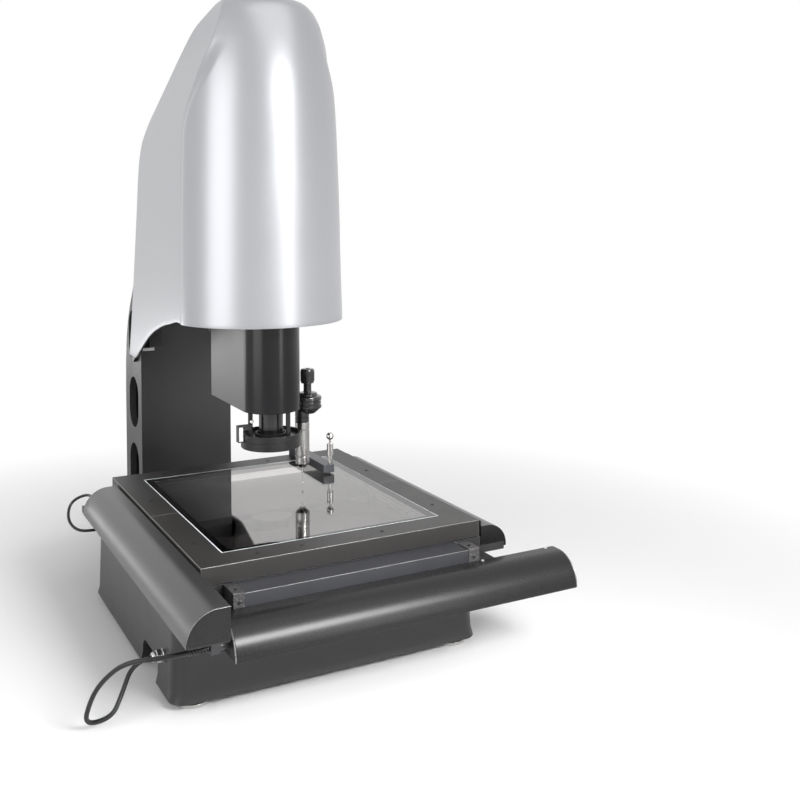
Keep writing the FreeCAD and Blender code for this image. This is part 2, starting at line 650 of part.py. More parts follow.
def ring_light_bracket():
    recess = LIGHT_Z[1]
    posts = []
    for angle in POST_ANGLES:
        x = POST_CIRCLE * math.cos(math.radians(angle))
        y = POST_CIRCLE * math.sin(math.radians(angle))
        posts.append(rod(POST_R, (x, y, recess), ALONG_Z, HOUSING_Z[0] - recess))
    tab_inner = -LIGHT_R - SLIDE_GAP
    tab_low = LIGHT_Z[0] + 12
    tab_top = LIGHT_Z[2] + 16
    tab = box(tab_inner - 9, tab_inner, -6, 6, tab_low, tab_top)
    arm = box(tab_inner - 9, -POST_CIRCLE, -6, 6, tab_top - 8, tab_top)
    return group([join([posts[0], tab, arm])] + posts[1:])


def probe_head():
    x, y = HEAD_XY
    stack = [rod(radius, (x, y, low), ALONG_Z, high - low) for radius, low, high in HEAD_STACK]
    top_radius = HEAD_STACK[0][0]
    taper_radius, taper_low = HEAD_TAPER
    taper = Part.makeCone(taper_radius, top_radius, HEAD_STACK[0][1] - taper_low, V(x, y, taper_low))
    collar = rod(COLLAR_R, (PROBE_XY[0], PROBE_XY[1], COLLAR_Z[0]), ALONG_Z, COLLAR_Z[1] - COLLAR_Z[0])
    bracket = box(HOUSING_R, x, y - 12, y + 12, HEAD_STACK[0][1] + 2, HEAD_STACK[2][2] - 2)
    return join(stack + [taper, collar, bracket])


def probe_body():
    x, y = PROBE_XY
    low, high = PROBE_Z
    body = rod(PROBE_R, (x, y, low + 8), ALONG_Z, high - low - 8)
    nose = Part.makeCone(5, PROBE_R, 8, V(x, y, low))
    groove = rod(PROBE_R + 1, (x, y, PROBE_GROOVE_Z - 1), ALONG_Z, 2).cut(
        rod(PROBE_R - 1, (x, y, PROBE_GROOVE_Z - 1), ALONG_Z, 2))
    return join([body, nose]).cut(groove)


def stylus():
    x, y = PROBE_XY
    centre = STYLUS_TIP + STYLUS_BALL
    stem = rod(STYLUS_R, (x, y, centre), ALONG_Z, PROBE_Z[0] - centre - 8)
    root = rod(2, (x, y, PROBE_Z[0] - 8), ALONG_Z, 8)
    return join([stem, root, Part.makeSphere(STYLUS_BALL, V(x, y, centre))])


def backlight_unit():
    low, top = LAMP_Z
    body = rod(LAMP_R, (0, 0, low), ALONG_Z, top - low)
    flange = rod(LAMP_FLANGE, (0, 0, DECK_TOP), ALONG_Z, LAMP_FLANGE_H)
    window = rod(LAMP_R - 4, (0, 0, top - 2), ALONG_Z, 3)
    return join([body, flange]).cut(window)


def saddle_plate():
    plate = box(*SADDLE_X, *SADDLE_Y, *SADDLE_Z)
    window = box(*SADDLE_WINDOW, SADDLE_Z[0] - 1, SADDLE_Z[1] + 1)
    return join([plate.cut(window), box(*TONGUE), box(*LEDGE), box(*UPSTAND)])


def right_cover():
    centre, up, radius, inner, bottom, low, high = RIGHT_COVER
    sheet = cover_sheet(ALONG_Y, RIGHT_COVER)
    lip = box(inner, inner + SHEET, low + SHEET, high - SHEET, SADDLE_Z[1], LIP_TOP)
    return join([sheet, lip])


def screw_bearing_blocks():
    blocks = []
    for x in X_BLOCK_XS:
        body = box(x, x + X_BLOCK_L, *X_BLOCK_Y, X_SCREW_Z - 14, SADDLE_Z[0])
        blocks.append(bored(body, SCREW_R, (x - 1, X_SCREW_Y, X_SCREW_Z), ALONG_X, X_BLOCK_L + 2))
    lows = (TONGUE[5], SADDLE_Z[1])
    for index, y in enumerate(Y_BLOCK_YS):
        body = box(Y_SCREW_X - 12, Y_SCREW_X + 12, y, y + X_BLOCK_L, lows[index], Y_SCREW_Z + 12)
        blocks.append(bored(body, SCREW_R, (Y_SCREW_X, y - 1, Y_SCREW_Z), ALONG_Y, X_BLOCK_L + 2))
    return group(blocks)


def x_nut_bracket(outer):
    block = box(-X_NUT_HALF, X_NUT_HALF, X_SCREW_Y - 15, X_SCREW_Y + 15, X_SCREW_Z - 15, X_SCREW_Z + 13)
    arm = box(-X_NUT_HALF, X_NUT_HALF, X_SCREW_Y + 13, BASE_INNER_FRONT, X_SCREW_Z - 10, X_SCREW_Z + 8)
    start = (-X_NUT_HALF - 1, X_SCREW_Y, X_SCREW_Z)
    return bored(join([block, arm.cut(outer)]), SCREW_R, start, ALONG_X, 2 * X_NUT_HALF + 2)


def y_nut_bracket():
    split = Y_SCREW_Z + 9
    plate = box(Y_SCREW_X - 6, Y_SCREW_X + Y_NUT_REACH, -Y_NUT_HALF, Y_NUT_HALF, split, TABLE_Z[0])
    block = box(Y_SCREW_X - 16, Y_SCREW_X + 16, -Y_NUT_HALF, Y_NUT_HALF, Y_SCREW_Z - 9.5, split)
    start = (Y_SCREW_X, -Y_NUT_HALF - 1, Y_SCREW_Z)
    return bored(join([plate, block]), SCREW_R, start, ALONG_Y, 2 * Y_NUT_HALF + 2)


def z_nut():
    body = box(-Z_NUT_HALF, Z_NUT_HALF, Z_PLATE_REAR, Z_SCREW_Y + Z_NUT_REACH, Z_NUT_LOW, Z_NUT_LOW + Z_NUT_L)
    return bored(body, SCREW_R, (0, Z_SCREW_Y, Z_NUT_LOW - 1), ALONG_Z, Z_NUT_L + 2)


def glass_opening(low, top):
    x0, x1, y0, y1 = GLASS[:4]
    return box(x0 - GLASS_GAP, x1 + GLASS_GAP, y0 - GLASS_GAP, y1 + GLASS_GAP, low, top)


def table_plate():
    plate = box(*TABLE_X, *TABLE_Y, *TABLE_Z)
    window = box(*TABLE_WINDOW, TABLE_Z[0] - 1, TABLE_Z[1] + 1)
    return plate.cut([window, glass_opening(GLASS[4], TABLE_Z[1] + 1)])


def trim_half(front, rear):
    """One half of the trim round the table: a flat plate with a skirt along its end."""
    top = TABLE_Z[1] + TRIM
    outer = box(TABLE_X[0] - TRIM, TABLE_X[1] + TRIM, front, rear, TRIM_SKIRT, top)
    plate = box(*TABLE_X, *TABLE_Y, TRIM_SKIRT - 1, TABLE_Z[1])
    sides = box(TABLE_X[0] - TRIM - 1, TABLE_X[1] + TRIM + 1, *TABLE_Y, TRIM_SKIRT - 1, TABLE_Z[0])
    return outer.cut([plate, sides, glass_opening(TRIM_SKIRT, top + 1)])


def reference_bar():
    """Bar that stands on the rear trim and reaches forward, clear of the glass."""
    foot_front = GLASS[3] + GLASS_GAP
    return join([box(*BAR[:4], BAR[4] + BAR_CLEAR, BAR[5]), box(*BAR[:2], foot_front, *BAR[3:])])


def reference_sphere():
    x, y, z = BALL_XYZ
    foot_top = BAR[5] + 16
    lower = rod(4, (x, y, BAR[5]), ALONG_Z, foot_top - BAR[5])
    upper = rod(6, (x, y, foot_top), ALONG_Z, z - 14 - foot_top)
    neck = rod(2, (x, y, z - 14), ALONG_Z, 14)
    return join([lower, upper, neck, Part.makeSphere(BALL_R, V(x, y, z))])


def scale_housing():
    ends = [box(*end, *SCALE_STRIP[2:5], SCALE_END_TOP) for end in SCALE_ENDS]
    return join([box(*SCALE_STRIP)] + ends)


def cable_plug():
    x, y, z = RELIEF_TIP
    start = x + RELIEF_L
    end = start + PLUG_L
    neck = rod(PLUG_NECK_R, (end, y, z), ALONG_X, FRONT_COVER_LEFT - end)
    body = box(start, end, y - PLUG_HALF, y + PLUG_HALF, z - PLUG_HALF + 1.5, z + PLUG_HALF - 1.5)
    return join([neck, body])


def strain_relief():
    x, y, z = RELIEF_TIP
    core = rod(RELIEF_R, (x, y, z), ALONG_X, RELIEF_L)
    pitch = RELIEF_L / (RELIEF_RIBS + 0.5)
    ribs = [rod(RELIEF_RIB_R, (x + pitch * (index + 0.5), y, z), ALONG_X, pitch * 0.55)
            for index in range(RELIEF_RIBS)]
    return join([core] + ribs)


def cable_glands(outer):
    x, y, z = FRONT_PATH[-1]
    body = rod(GLAND_R, (x + GLAND_NUT, y, z), ALONG_X, GLAND_L).cut(outer)
    tip = Part.makeCone(5, GLAND_R - 1, GLAND_NUT, V(x, y, z), ALONG_X)
    line_y = REAR_PATH[-1][1]
    socket = box(SOCKET_X, SOCKET_X + SOCKET_L, line_y - SOCKET / 2, line_y + SOCKET / 2, DECK_TOP,
                 DECK_TOP + SOCKET)
    return group([join([body, tip]), socket])


def connector_panel(outer):
    return box(*PANEL_X, BASE_INNER_REAR + 2, PANEL_REAR, *PANEL_Z).cut(outer)


os.makedirs("parts", exist_ok=True)

OUTER = base_outer()
INNER_HEAD = cover_solid(COVER_WALL)

save("base_casting", base_casting(OUTER))
save("levelling_feet", group([foot(x, y) for x, y in FOOT_XY]))
save("control_box", box(*ELECTRONICS, DECK_LOW))
save("backlight_unit", backlight_unit())
save("connector_panel", connector_panel(OUTER))
save("x_rails", group([rail_along(ALONG_X, y, DECK_TOP, X_RAIL_HALF) for y in X_RAIL_YS]))
save("x_nut_bracket", x_nut_bracket(OUTER))
save("cable_glands", cable_glands(OUTER))
save("column", column())
save("head_arm", head_arm(INNER_HEAD))
save("head_cover", head_cover(INNER_HEAD))
save("limit_bracket", limit_bracket())
save("z_rails", z_rails())
save("z_motor", box(-Z_MOTOR_HALF, Z_MOTOR_HALF, Z_SCREW_Y - Z_MOTOR_HALF, Z_SCREW_Y + Z_MOTOR_HALF, ARM_TOP,
                    ARM_TOP + Z_MOTOR_H))
save("z_bearing_blocks", z_bearing_blocks())
save("front_cable", cord(FRONT_PATH, CABLE_R))
save("rear_cable", cord(REAR_PATH, REAR_CABLE_R))

save("saddle_plate", saddle_plate())
save("x_carriages", group([carriage(ALONG_X, x, y, SADDLE_Z[0]) for x in X_CARRIAGE_XS for y in X_RAIL_YS]))
save("y_rails", group([rail_along(ALONG_Y, x, SADDLE_Z[1], Y_RAIL_HALF) for x in Y_RAIL_XS]))
save("x_drive_motor", rod(X_MOTOR_R, (X_MOTOR_X[0], X_SCREW_Y, X_SCREW_Z), ALONG_X,
                          X_MOTOR_X[1] - X_MOTOR_X[0]))
save("y_drive_motor", rod(Y_MOTOR_R, (Y_SCREW_X, Y_MOTOR_FRONT, Y_SCREW_Z), ALONG_Y,
                          Y_BLOCK_YS[0] - Y_MOTOR_FRONT))
save("screw_bearing_blocks", screw_bearing_blocks())
save("left_cover", cover_sheet(ALONG_Y, LEFT_COVER))
save("left_cover_caps", cover_caps(ALONG_Y, LEFT_COVER))
save("right_cover", right_cover())
save("right_cover_caps", cover_caps(ALONG_Y, RIGHT_COVER))
save("front_cover", cover_sheet(ALONG_X, FRONT_COVER))
save("front_cover_caps", cover_caps(ALONG_X, FRONT_COVER))
save("scale_housing", scale_housing())
save("cable_plug", cable_plug())
save("strain_relief", strain_relief())

save("x_screw", rod(SCREW_R, (X_SCREW_X[0], X_SCREW_Y, X_SCREW_Z), ALONG_X, X_SCREW_X[1] - X_SCREW_X[0]))
save("y_screw", rod(SCREW_R, (Y_SCREW_X, Y_SCREW_Y[0], Y_SCREW_Z), ALONG_Y, Y_SCREW_Y[1] - Y_SCREW_Y[0]))
save("z_screw", rod(SCREW_R, (0, Z_SCREW_Y, Z_SCREW_LOW), ALONG_Z, Z_SCREW_TOP - Z_SCREW_LOW))

save("table_plate", table_plate())
save("y_carriages", group([carriage(ALONG_Y, y, x, TABLE_Z[0]) for x in Y_RAIL_XS for y in Y_CARRIAGE_YS]))
save("y_nut_bracket", y_nut_bracket())
save("front_trim", trim_half(TABLE_Y[0] - TRIM, TRIM_SEAM_Y))
save("rear_trim", trim_half(TRIM_SEAM_Y, TABLE_Y[1] + TRIM))
save("stage_glass", box(*GLASS))
save("glass_stop", box(*STOP_X, GLASS[3] + GLASS_GAP, GLASS[3] + STOP_L, GLASS[5], GLASS[5] + STOP_H))
save("trim_screws", group([rod(TRIM_SCREW_R, (x, y, GLASS[5]), ALONG_Z, TRIM_SCREW_H) for x, y in SCREW_XY]))
save("reference_bar", reference_bar())
save("reference_sphere", reference_sphere())

save("z_plate", box(-Z_PLATE_HALF, Z_PLATE_HALF, Z_PLATE_FRONT, Z_PLATE_REAR, *Z_PLATE_Z))
save("z_carriages", z_carriages())
save("z_nut", z_nut())
save("optics_housing", optics_housing())
save("camera", box(-CAMERA_HALF, CAMERA_HALF, -CAMERA_HALF, CAMERA_HALF, LENS_TOP, CAMERA_TOP))
save("zoom_lens_body", zoom_lens_body())
save("zoom_ring", zoom_ring())
save("zoom_motor", rod(ZOOM_MOTOR_R, (0, ZOOM_MOTOR_Y, ZOOM_MOTOR_Z[0]), ALONG_Z,
                       ZOOM_MOTOR_Z[1] - ZOOM_MOTOR_Z[0]))
save("objective_tube", objective_tube())
save("ring_light", ring_light())
save("ring_light_bracket", ring_light_bracket())
save("probe_head", probe_head())
save("probe_body", probe_body())
save("stylus", stylus())
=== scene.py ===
"""Looks of the vision measuring machine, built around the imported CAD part.

Shapes are given in millimetres, with heights measured from the bench top. mm() turns them into the frame's
metres, where the origin is on the stage glass, on the lens axis. The camera, the cables, the floor and the
lamps are given in metres.
"""
import json
import math

import bmesh
import bpy
from mathutils import Matrix, Vector, noise

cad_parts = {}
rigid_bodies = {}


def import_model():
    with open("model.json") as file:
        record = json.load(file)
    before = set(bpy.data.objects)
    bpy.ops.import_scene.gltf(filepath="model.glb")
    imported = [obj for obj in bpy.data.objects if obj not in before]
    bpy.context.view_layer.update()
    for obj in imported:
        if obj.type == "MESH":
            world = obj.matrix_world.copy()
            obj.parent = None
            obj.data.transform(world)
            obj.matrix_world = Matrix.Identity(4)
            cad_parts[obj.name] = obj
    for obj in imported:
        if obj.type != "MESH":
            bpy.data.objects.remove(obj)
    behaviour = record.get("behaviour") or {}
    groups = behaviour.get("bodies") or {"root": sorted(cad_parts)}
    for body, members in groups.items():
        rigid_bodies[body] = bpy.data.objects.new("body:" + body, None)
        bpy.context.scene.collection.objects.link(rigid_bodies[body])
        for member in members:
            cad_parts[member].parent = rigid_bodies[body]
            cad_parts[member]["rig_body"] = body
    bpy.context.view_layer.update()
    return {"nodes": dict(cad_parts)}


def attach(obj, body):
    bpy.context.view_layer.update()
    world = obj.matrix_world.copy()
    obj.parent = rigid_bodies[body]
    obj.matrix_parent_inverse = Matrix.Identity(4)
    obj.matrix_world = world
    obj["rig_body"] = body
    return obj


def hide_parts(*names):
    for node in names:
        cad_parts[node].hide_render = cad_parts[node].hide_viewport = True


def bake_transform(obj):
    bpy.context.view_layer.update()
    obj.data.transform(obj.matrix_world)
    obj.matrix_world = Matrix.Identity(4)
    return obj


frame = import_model()

GLASS_TOP = 200.0


def mm(x, y, z):
    return Vector((x, y, z - GLASS_TOP)) / 1000


# Camera, with the photograph's angle and framing
camera_data = bpy.data.cameras.new("camera")
camera_data.sensor_width = 36
camera_data.lens = 46.31
camera_data.shift_y = -0.20
camera_data.clip_start = 0.05
camera = bpy.data.objects.new("camera", camera_data)
camera.matrix_world = (Matrix.Translation((-0.6328, -1.6439, 0.5123))
                       @ Matrix.Rotation(math.radians(-28.28), 4, "Z")
                       @ Matrix.Rotation(math.radians(87.75), 4, "X")
                       @ Matrix.Rotation(math.radians(-0.13), 4, "Z"))
bpy.context.scene.collection.objects.link(camera)
bpy.context.scene.camera = camera

# Cables: the route's points in metres
FRONT_ROUTE = ((-0.252, -0.346, -0.080), (-0.284, -0.346, -0.080), (-0.326, -0.318, -0.087),
               (-0.350, -0.290, -0.118), (-0.362, -0.274, -0.148), (-0.368, -0.258, -0.188),
               (-0.328, -0.246, -0.192), (-0.312, -0.232, -0.172), (-0.290, -0.209, -0.138),
               (-0.264, -0.209, -0.138))
REAR_ROUTE = ((-0.255, 0.228, -0.020), (-0.255, 0.256, -0.020), (-0.286, 0.262, -0.032),
              (-0.296, 0.242, -0.058), (-0.284, 0.216, -0.074), (-0.254, 0.208, -0.0745),
              (-0.226, 0.208, -0.0745))
FRONT_CABLE_D = 0.0065
REAR_CABLE_D = 0.005


def nurbs(name, points):
    curve = bpy.data.curves.new(name, "CURVE")
    curve.dimensions = "3D"
    curve.resolution_u = 24
    spline = curve.splines.new("NURBS")
    spline.points.add(len(points) - 1)
    for index, point in enumerate(points):
        spline.points[index].co = (*point, 1)
    spline.order_u = 3
    spline.use_endpoint_u = True
    return curve


def cable(name, node, route, diameter):
    """Mesh tube along the route's spline, which runs between the saddle and the frame."""
    line = bpy.data.objects.new(name + "_line", nurbs(name + "_line", route))
    bpy.context.scene.collection.objects.link(line)
    bpy.context.view_layer.update()
    drawn = bpy.data.meshes.new_from_object(line)
    bpy.data.meshes.remove(drawn)
    line.data.bevel_depth = diameter / 2
    line.data.bevel_resolution = 6
    line.data.use_fill_caps = True
    bpy.context.view_layer.update()
    tube_mesh = bpy.data.meshes.new_from_object(line)
    bpy.data.objects.remove(line)
    for face in tube_mesh.polygons:
        face.use_smooth = True
    tube = bpy.data.objects.new(name, tube_mesh)
    bpy.context.scene.collection.objects.link(tube)
    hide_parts(node)
    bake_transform(tube)
    return tube


front_cable = cable("front_cable_tube", "front_cable", FRONT_ROUTE, FRONT_CABLE_D)
rear_cable = cable("rear_cable_tube", "rear_cable", REAR_ROUTE, REAR_CABLE_D)


# Materials
def shader_nodes(name):
    material = bpy.data.materials.new(name)
    material.use_nodes = True
    tree = material.node_tree
    return material, tree, tree.nodes["Principled BSDF"]


def link_noise(tree, scale, detail, stretch=(1, 1, 1)):
    """Noise on the object's own coordinates, in features per metre."""
    place = tree.nodes.new("ShaderNodeTexCoord")
    mapping = tree.nodes.new("ShaderNodeMapping")
    mapping.inputs["Scale"].default_value = stretch
    texture = tree.nodes.new("ShaderNodeTexNoise")
    texture.inputs["Scale"].default_value = scale
    texture.inputs["Detail"].default_value = detail
    tree.links.new(place.outputs["Object"], mapping.inputs["Vector"])
    tree.links.new(mapping.outputs["Vector"], texture.inputs["Vector"])
    return texture.outputs["Fac"]


def ranged(tree, value, low, high, from_low=0.3, from_high=0.7):
    node = tree.nodes.new("ShaderNodeMapRange")
    node.inputs["From Min"].default_value = from_low
    node.inputs["From Max"].default_value = from_high
    node.inputs["To Min"].default_value = low
    node.inputs["To Max"].default_value = high
    tree.links.new(value, node.inputs["Value"])
    return node.outputs["Result"]


# Shares of the fine and the broad noise in a surface's colour
FINE_SHARE = 0.45
BROAD_SHARE = 0.55


def finish_of(name, colour, rough, metallic=0.0, grain=900.0, bump=0.00006, tint=0.08, spread=0.06,
              stretch=(1, 1, 1), coat=0.0, coat_rough=0.1, blotch=14.0, ior=1.5):
    """Painted, moulded or machined surface: slight colour drift, uneven gloss and a fine relief."""
    material, tree, shader = shader_nodes(name)
    fine = link_noise(tree, grain, 3.0, stretch)
    broad = link_noise(tree, blotch, 4.0)
    blend = tree.nodes.new("ShaderNodeMix")
    blend.data_type = "RGBA"
    blend.inputs["A"].default_value = (*[c * (1 - tint) for c in colour], 1)
    blend.inputs["B"].default_value = (*[min(c * (1 + tint), 1) for c in colour], 1)
    drift = tree.nodes.new("ShaderNodeMath")
    drift.operation = "MULTIPLY_ADD"
    drift.inputs[1].default_value = FINE_SHARE
    tree.links.new(fine, drift.inputs[0])
    tree.links.new(ranged(tree, broad, 0.0, BROAD_SHARE), drift.inputs[2])
    tree.links.new(drift.outputs[0], blend.inputs["Factor"])
    tree.links.new(blend.outputs["Result"], shader.inputs["Base Color"])
    gloss = tree.nodes.new("ShaderNodeMath")
    gloss.operation = "ADD"
    tree.links.new(ranged(tree, fine, rough - spread, rough + spread), gloss.inputs[0])
    tree.links.new(ranged(tree, broad, -spread / 2, spread / 2), gloss.inputs[1])
    tree.links.new(gloss.outputs[0], shader.inputs["Roughness"])
    relief = tree.nodes.new("ShaderNodeBump")
    relief.inputs["Distance"].default_value = bump
    tree.links.new(fine, relief.inputs["Height"])
    tree.links.new(relief.outputs["Normal"], shader.inputs["Normal"])
    shader.inputs["Metallic"].default_value = metallic
    shader.inputs["IOR"].default_value = ior
    shader.inputs["Coat Weight"].default_value = coat
    shader.inputs["Coat Roughness"].default_value = coat_rough
    return material


HEAD_SILVER = finish_of("head_silver", (0.42, 0.426, 0.445), 0.34, metallic=0.7, grain=2600, bump=0.000004,
                        tint=0.015, spread=0.01)
CAST_PAINT = finish_of("cast_paint", (0.016, 0.0155, 0.0152), 0.34, grain=700, bump=0.00009, tint=0.16,
                       spread=0.05)
COLUMN_PAINT = finish_of("column_paint", (0.030, 0.030, 0.031), 0.44, grain=520, bump=0.0001, tint=0.12,
                         stretch=(1, 1, 0.35))
ARM_PAINT = finish_of("arm_paint", (0.05, 0.05, 0.052), 0.55, grain=420, bump=0.0002, tint=0.15)
# The covers' one black paint in two copies: the side covers' glossier, partly metallic copy gives a painted
# sheen, and the darker, duller copy for the front cover and the caps gives a painted shade
COVER_SHEEN_COAT = finish_of("cover_coat", (0.022, 0.021, 0.0205), 0.40, metallic=0.25, grain=1100, bump=0.00003,
                       tint=0.10, spread=0.03, coat=0.7, coat_rough=0.38)
FRONT_SHADE_COAT = finish_of("front_cover_coat_painted_shade", (0.010, 0.0098, 0.0098), 0.28, grain=1100, bump=0.00003,
                       tint=0.10, spread=0.03, ior=1.39)
# Bright metallic material for the caps' rims that face up or outwards: a painted highlight
COVER_HIGHLIGHT_EDGE = finish_of("cover_edge_painted_highlight", (0.30, 0.30, 0.30), 0.28, metallic=0.7, grain=900, bump=0.00003)
PLATE_COAT = finish_of("plate_coat", (0.022, 0.022, 0.023), 0.42, grain=900, bump=0.00006, tint=0.1)
TRIM_COAT = finish_of("trim_coat", (0.020, 0.0185, 0.0175), 0.42, grain=800, bump=0.00007, tint=0.12,
                      spread=0.05)
# Lighter, metallic material on the rounded edges of the trims and the scale housing: edge wear with a painted
# highlight
TRIM_WEAR_HIGHLIGHT_EDGE = finish_of("trim_edge_wear_and_painted_highlight", (0.22, 0.215, 0.21), 0.34, metallic=0.5, grain=800, bump=0.00003)
STEEL = finish_of("polished_steel", (0.60, 0.59, 0.58), 0.16, metallic=1.0, grain=1500, bump=0.000008,
                  tint=0.05, spread=0.05, stretch=(1, 1, 0.15))
GROUND_STEEL = finish_of("ground_steel", (0.50, 0.50, 0.51), 0.30, metallic=1.0, grain=1400, bump=0.00002,
                         tint=0.06, stretch=(0.08, 1, 1))
BLACK_PLASTIC = finish_of("black_plastic", (0.018, 0.018, 0.019), 0.42, grain=1600, bump=0.00004, tint=0.12)
BLACK_ANODISED = finish_of("black_anodised", (0.022, 0.021, 0.021), 0.30, metallic=0.35, grain=1800,
                           bump=0.00002, tint=0.12)
HEAD_INSIDE = finish_of("head_inside", (0.16, 0.16, 0.165), 0.6, grain=500, bump=0.0001)
HOUSING_COAT = finish_of("housing_coat", (0.006, 0.006, 0.007), 0.20, grain=1300, bump=0.00002, tint=0.08,
                         spread=0.02, ior=1.42)
# Lighter, more metallic copy of the housing paint for its flat sides: a painted sheen
HOUSING_SHEEN_SIDE = finish_of("housing_side_painted_sheen", (0.10, 0.097, 0.096), 0.38, metallic=0.5, grain=1300, bump=0.00003,
                         tint=0.08, spread=0.03)
RUBBER = finish_of("rubber", (0.007, 0.007, 0.0075), 0.34, grain=1500, bump=0.00004, tint=0.15, ior=1.45)
PLUG_COAT = finish_of("plug_coat", (0.030, 0.030, 0.033), 0.36, grain=1200, bump=0.00003, tint=0.08)
BAR_COAT = finish_of("bar_coat", (0.060, 0.062, 0.072), 0.34, grain=1100, bump=0.00004, tint=0.15)
GROUND_EDGE = finish_of("ground_glass_edge", (0.80, 0.86, 0.87), 0.30, grain=1500, bump=0.00002, tint=0.03)
BLACK_GLOSS = finish_of("black_gloss", (0.010, 0.010, 0.0105), 0.17, grain=1800, bump=0.00001, tint=0.1,
                        spread=0.03, coat=0.6, coat_rough=0.08)
BLACK_STEEL = finish_of("blackened_steel", (0.030, 0.030, 0.032), 0.36, metallic=0.6, grain=1600,
                        bump=0.00002, tint=0.15)
BRIGHT_ALLOY = finish_of("bright_alloy", (0.62, 0.62, 0.62), 0.34, metallic=0.8, grain=1200, bump=0.00003,
                         tint=0.05)
SCALE_COAT = finish_of("scale_coat", (0.040, 0.041, 0.047), 0.38, metallic=0.2, grain=1200, bump=0.00003,
                       tint=0.1)
ROUGH_CASTING = finish_of("rough_casting", (0.085, 0.082, 0.082), 0.42, metallic=0.45, grain=900,
                          bump=0.0006, tint=0.55, spread=0.15, blotch=700)
WHITE_LABEL = finish_of("pale_plate", (0.72, 0.71, 0.70), 0.45, grain=900, bump=0.00003, tint=0.04)
LED_LENS = finish_of("led_lens", (0.82, 0.82, 0.80), 0.18, grain=1500, bump=0.00002, tint=0.02, coat=0.6)
LENS_COATING = finish_of("lens_coating", (0.010, 0.010, 0.020), 0.05, grain=1200, bump=0.0, tint=0.2,
                         spread=0.01, coat=1.0, coat_rough=0.02)
PROBE_STEEL = finish_of("probe_steel", (0.50, 0.49, 0.48), 0.20, metallic=1.0, grain=700, bump=0.00003,
                        tint=0.34, spread=0.08, stretch=(1, 1, 0.03))


def glass_material():
    material, tree, shader = shader_nodes("stage_glass_clear")
    shader.inputs["Base Color"].default_value = (0.80, 0.77, 0.75, 1)
    shader.inputs["IOR"].default_value = 1.8
    shader.inputs["Transmission Weight"].default_value = 1.0
    tree.links.new(ranged(tree, link_noise(tree, 40, 3.0), 0.0, 0.02), shader.inputs["Roughness"])
    return material


CLEAR_GLASS = glass_material()


# Mesh helpers
def soften(bm, angle=38):
    """Smooth shading, with sharp edges where faces meet at more than the angle, in degrees."""
    for face in bm.faces:
        face.smooth = True
    for edge in bm.edges:
        sharp = len(edge.link_faces) != 2 or edge.calc_face_angle(0) > math.radians(angle)
        edge.smooth = not sharp


def piece(name, bm, body, materials, nodes=(), weighted=True):
    mesh = bpy.data.meshes.new(name)
    bm.to_mesh(mesh)
    bm.free()
    for material in materials:
        mesh.materials.append(material)
    obj = bpy.data.objects.new(name, mesh)
    bpy.context.scene.collection.objects.link(obj)
    if weighted:
        normals = obj.modifiers.new("normals", "WEIGHTED_NORMAL")
        normals.keep_sharp = True
    if nodes:
        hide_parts(*nodes)
    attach(obj, body)
    return obj


def bevel_edges(bm, width, segments, angle, material):
    edges = [edge for edge in bm.edges
             if len(edge.link_faces) == 2 and edge.calc_face_angle(0) > math.radians(angle)]
    if edges:
        bmesh.ops.bevel(bm, geom=edges, offset=width / 1000, offset_type="OFFSET", segments=segments,
                        profile=0.5, affect="EDGES", clamp_overlap=True, material=material)


MERGE_DISTANCE = 1e-6
FLAT_ANGLE = 0.4
EDGE_SEGMENTS = 3
EDGE_ANGLE = 42


def refined(node, materials, width, edge_faces=None, side_faces=None):
    """Piece with the CAD node's shape, its edges rounded and its flat faces made whole.

    The second material is on the rounded edges, or on those that edge_faces picks by their normal, or on the
    faces that side_faces picks by their normal instead. On all the rounded edges it is edge wear with a
    painted highlight, on those that edge_faces picks a painted highlight, and on the faces that side_faces
    picks a painted sheen.
    """
    source = frame["nodes"][node]
    bm = bmesh.new()
    bm.from_mesh(source.data)
    bmesh.ops.remove_doubles(bm, verts=bm.verts, dist=MERGE_DISTANCE)
    bmesh.ops.dissolve_limit(bm, angle_limit=math.radians(FLAT_ANGLE), use_dissolve_boundaries=False,
                             verts=bm.verts, edges=bm.edges)
    for face in bm.faces:
        face.material_index = 0
    bevel_edges(bm, width, EDGE_SEGMENTS, EDGE_ANGLE, 1 if len(materials) > 1 else 0)
    bm.normal_update()
    for face in bm.faces:
        if edge_faces and face.material_index and not edge_faces(face.normal):
            face.material_index = 0
        if side_faces:
            face.material_index = 1 if side_faces(face.normal) else 0
    soften(bm)
    piece(node + "_finished", bm, source["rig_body"], materials, [node])


def facing(x, y, z, axis=(0, 0, 1)):
    """Placement whose own Z runs along an axis, at a point given in millimetres."""
    return Matrix.Translation(mm(x, y, z)) @ Vector(axis).to_track_quat("Z", "Y").to_matrix().to_4x4()


KNURL_DEPTH = 0.4


def turned(bm, rows, place, segments=48, material=0, loop=False):
    """Surface turned about the placement's Z. A row is a radius, a height and its kind where it isn't round.

    A looped profile meets its own start, and any other gets a flat face at each end.
    """
    rings = []
    for row in rows:
        radius, height = row[:2]
        kind = row[2] if len(row) > 2 else "round"
        ring = []
        for step in range(segments):
            turn = 2 * math.pi * step / segments
            reach = radius
            if kind == "hex":
                reach = radius / math.cos((turn + math.pi / 6) % (math.pi / 3) - math.pi / 6)
            if kind == "knurl" and step % 2:
                reach = radius - KNURL_DEPTH
            spot = Vector((reach * math.cos(turn), reach * math.sin(turn), height)) / 1000
            ring.append(bm.verts.new(place @ spot))
        rings.append(ring)
    if loop:
        rings.append(rings[0])
    for low, high in zip(rings, rings[1:]):
        for step in range(segments):
            after = (step + 1) % segments
            face = bm.faces.new((low[step], low[after], high[after], high[step]))
            face.material_index = material
    if not loop:
        for ring in (rings[0][::-1], rings[-1]):
            face = bm.faces.new(ring)
            face.material_index = material


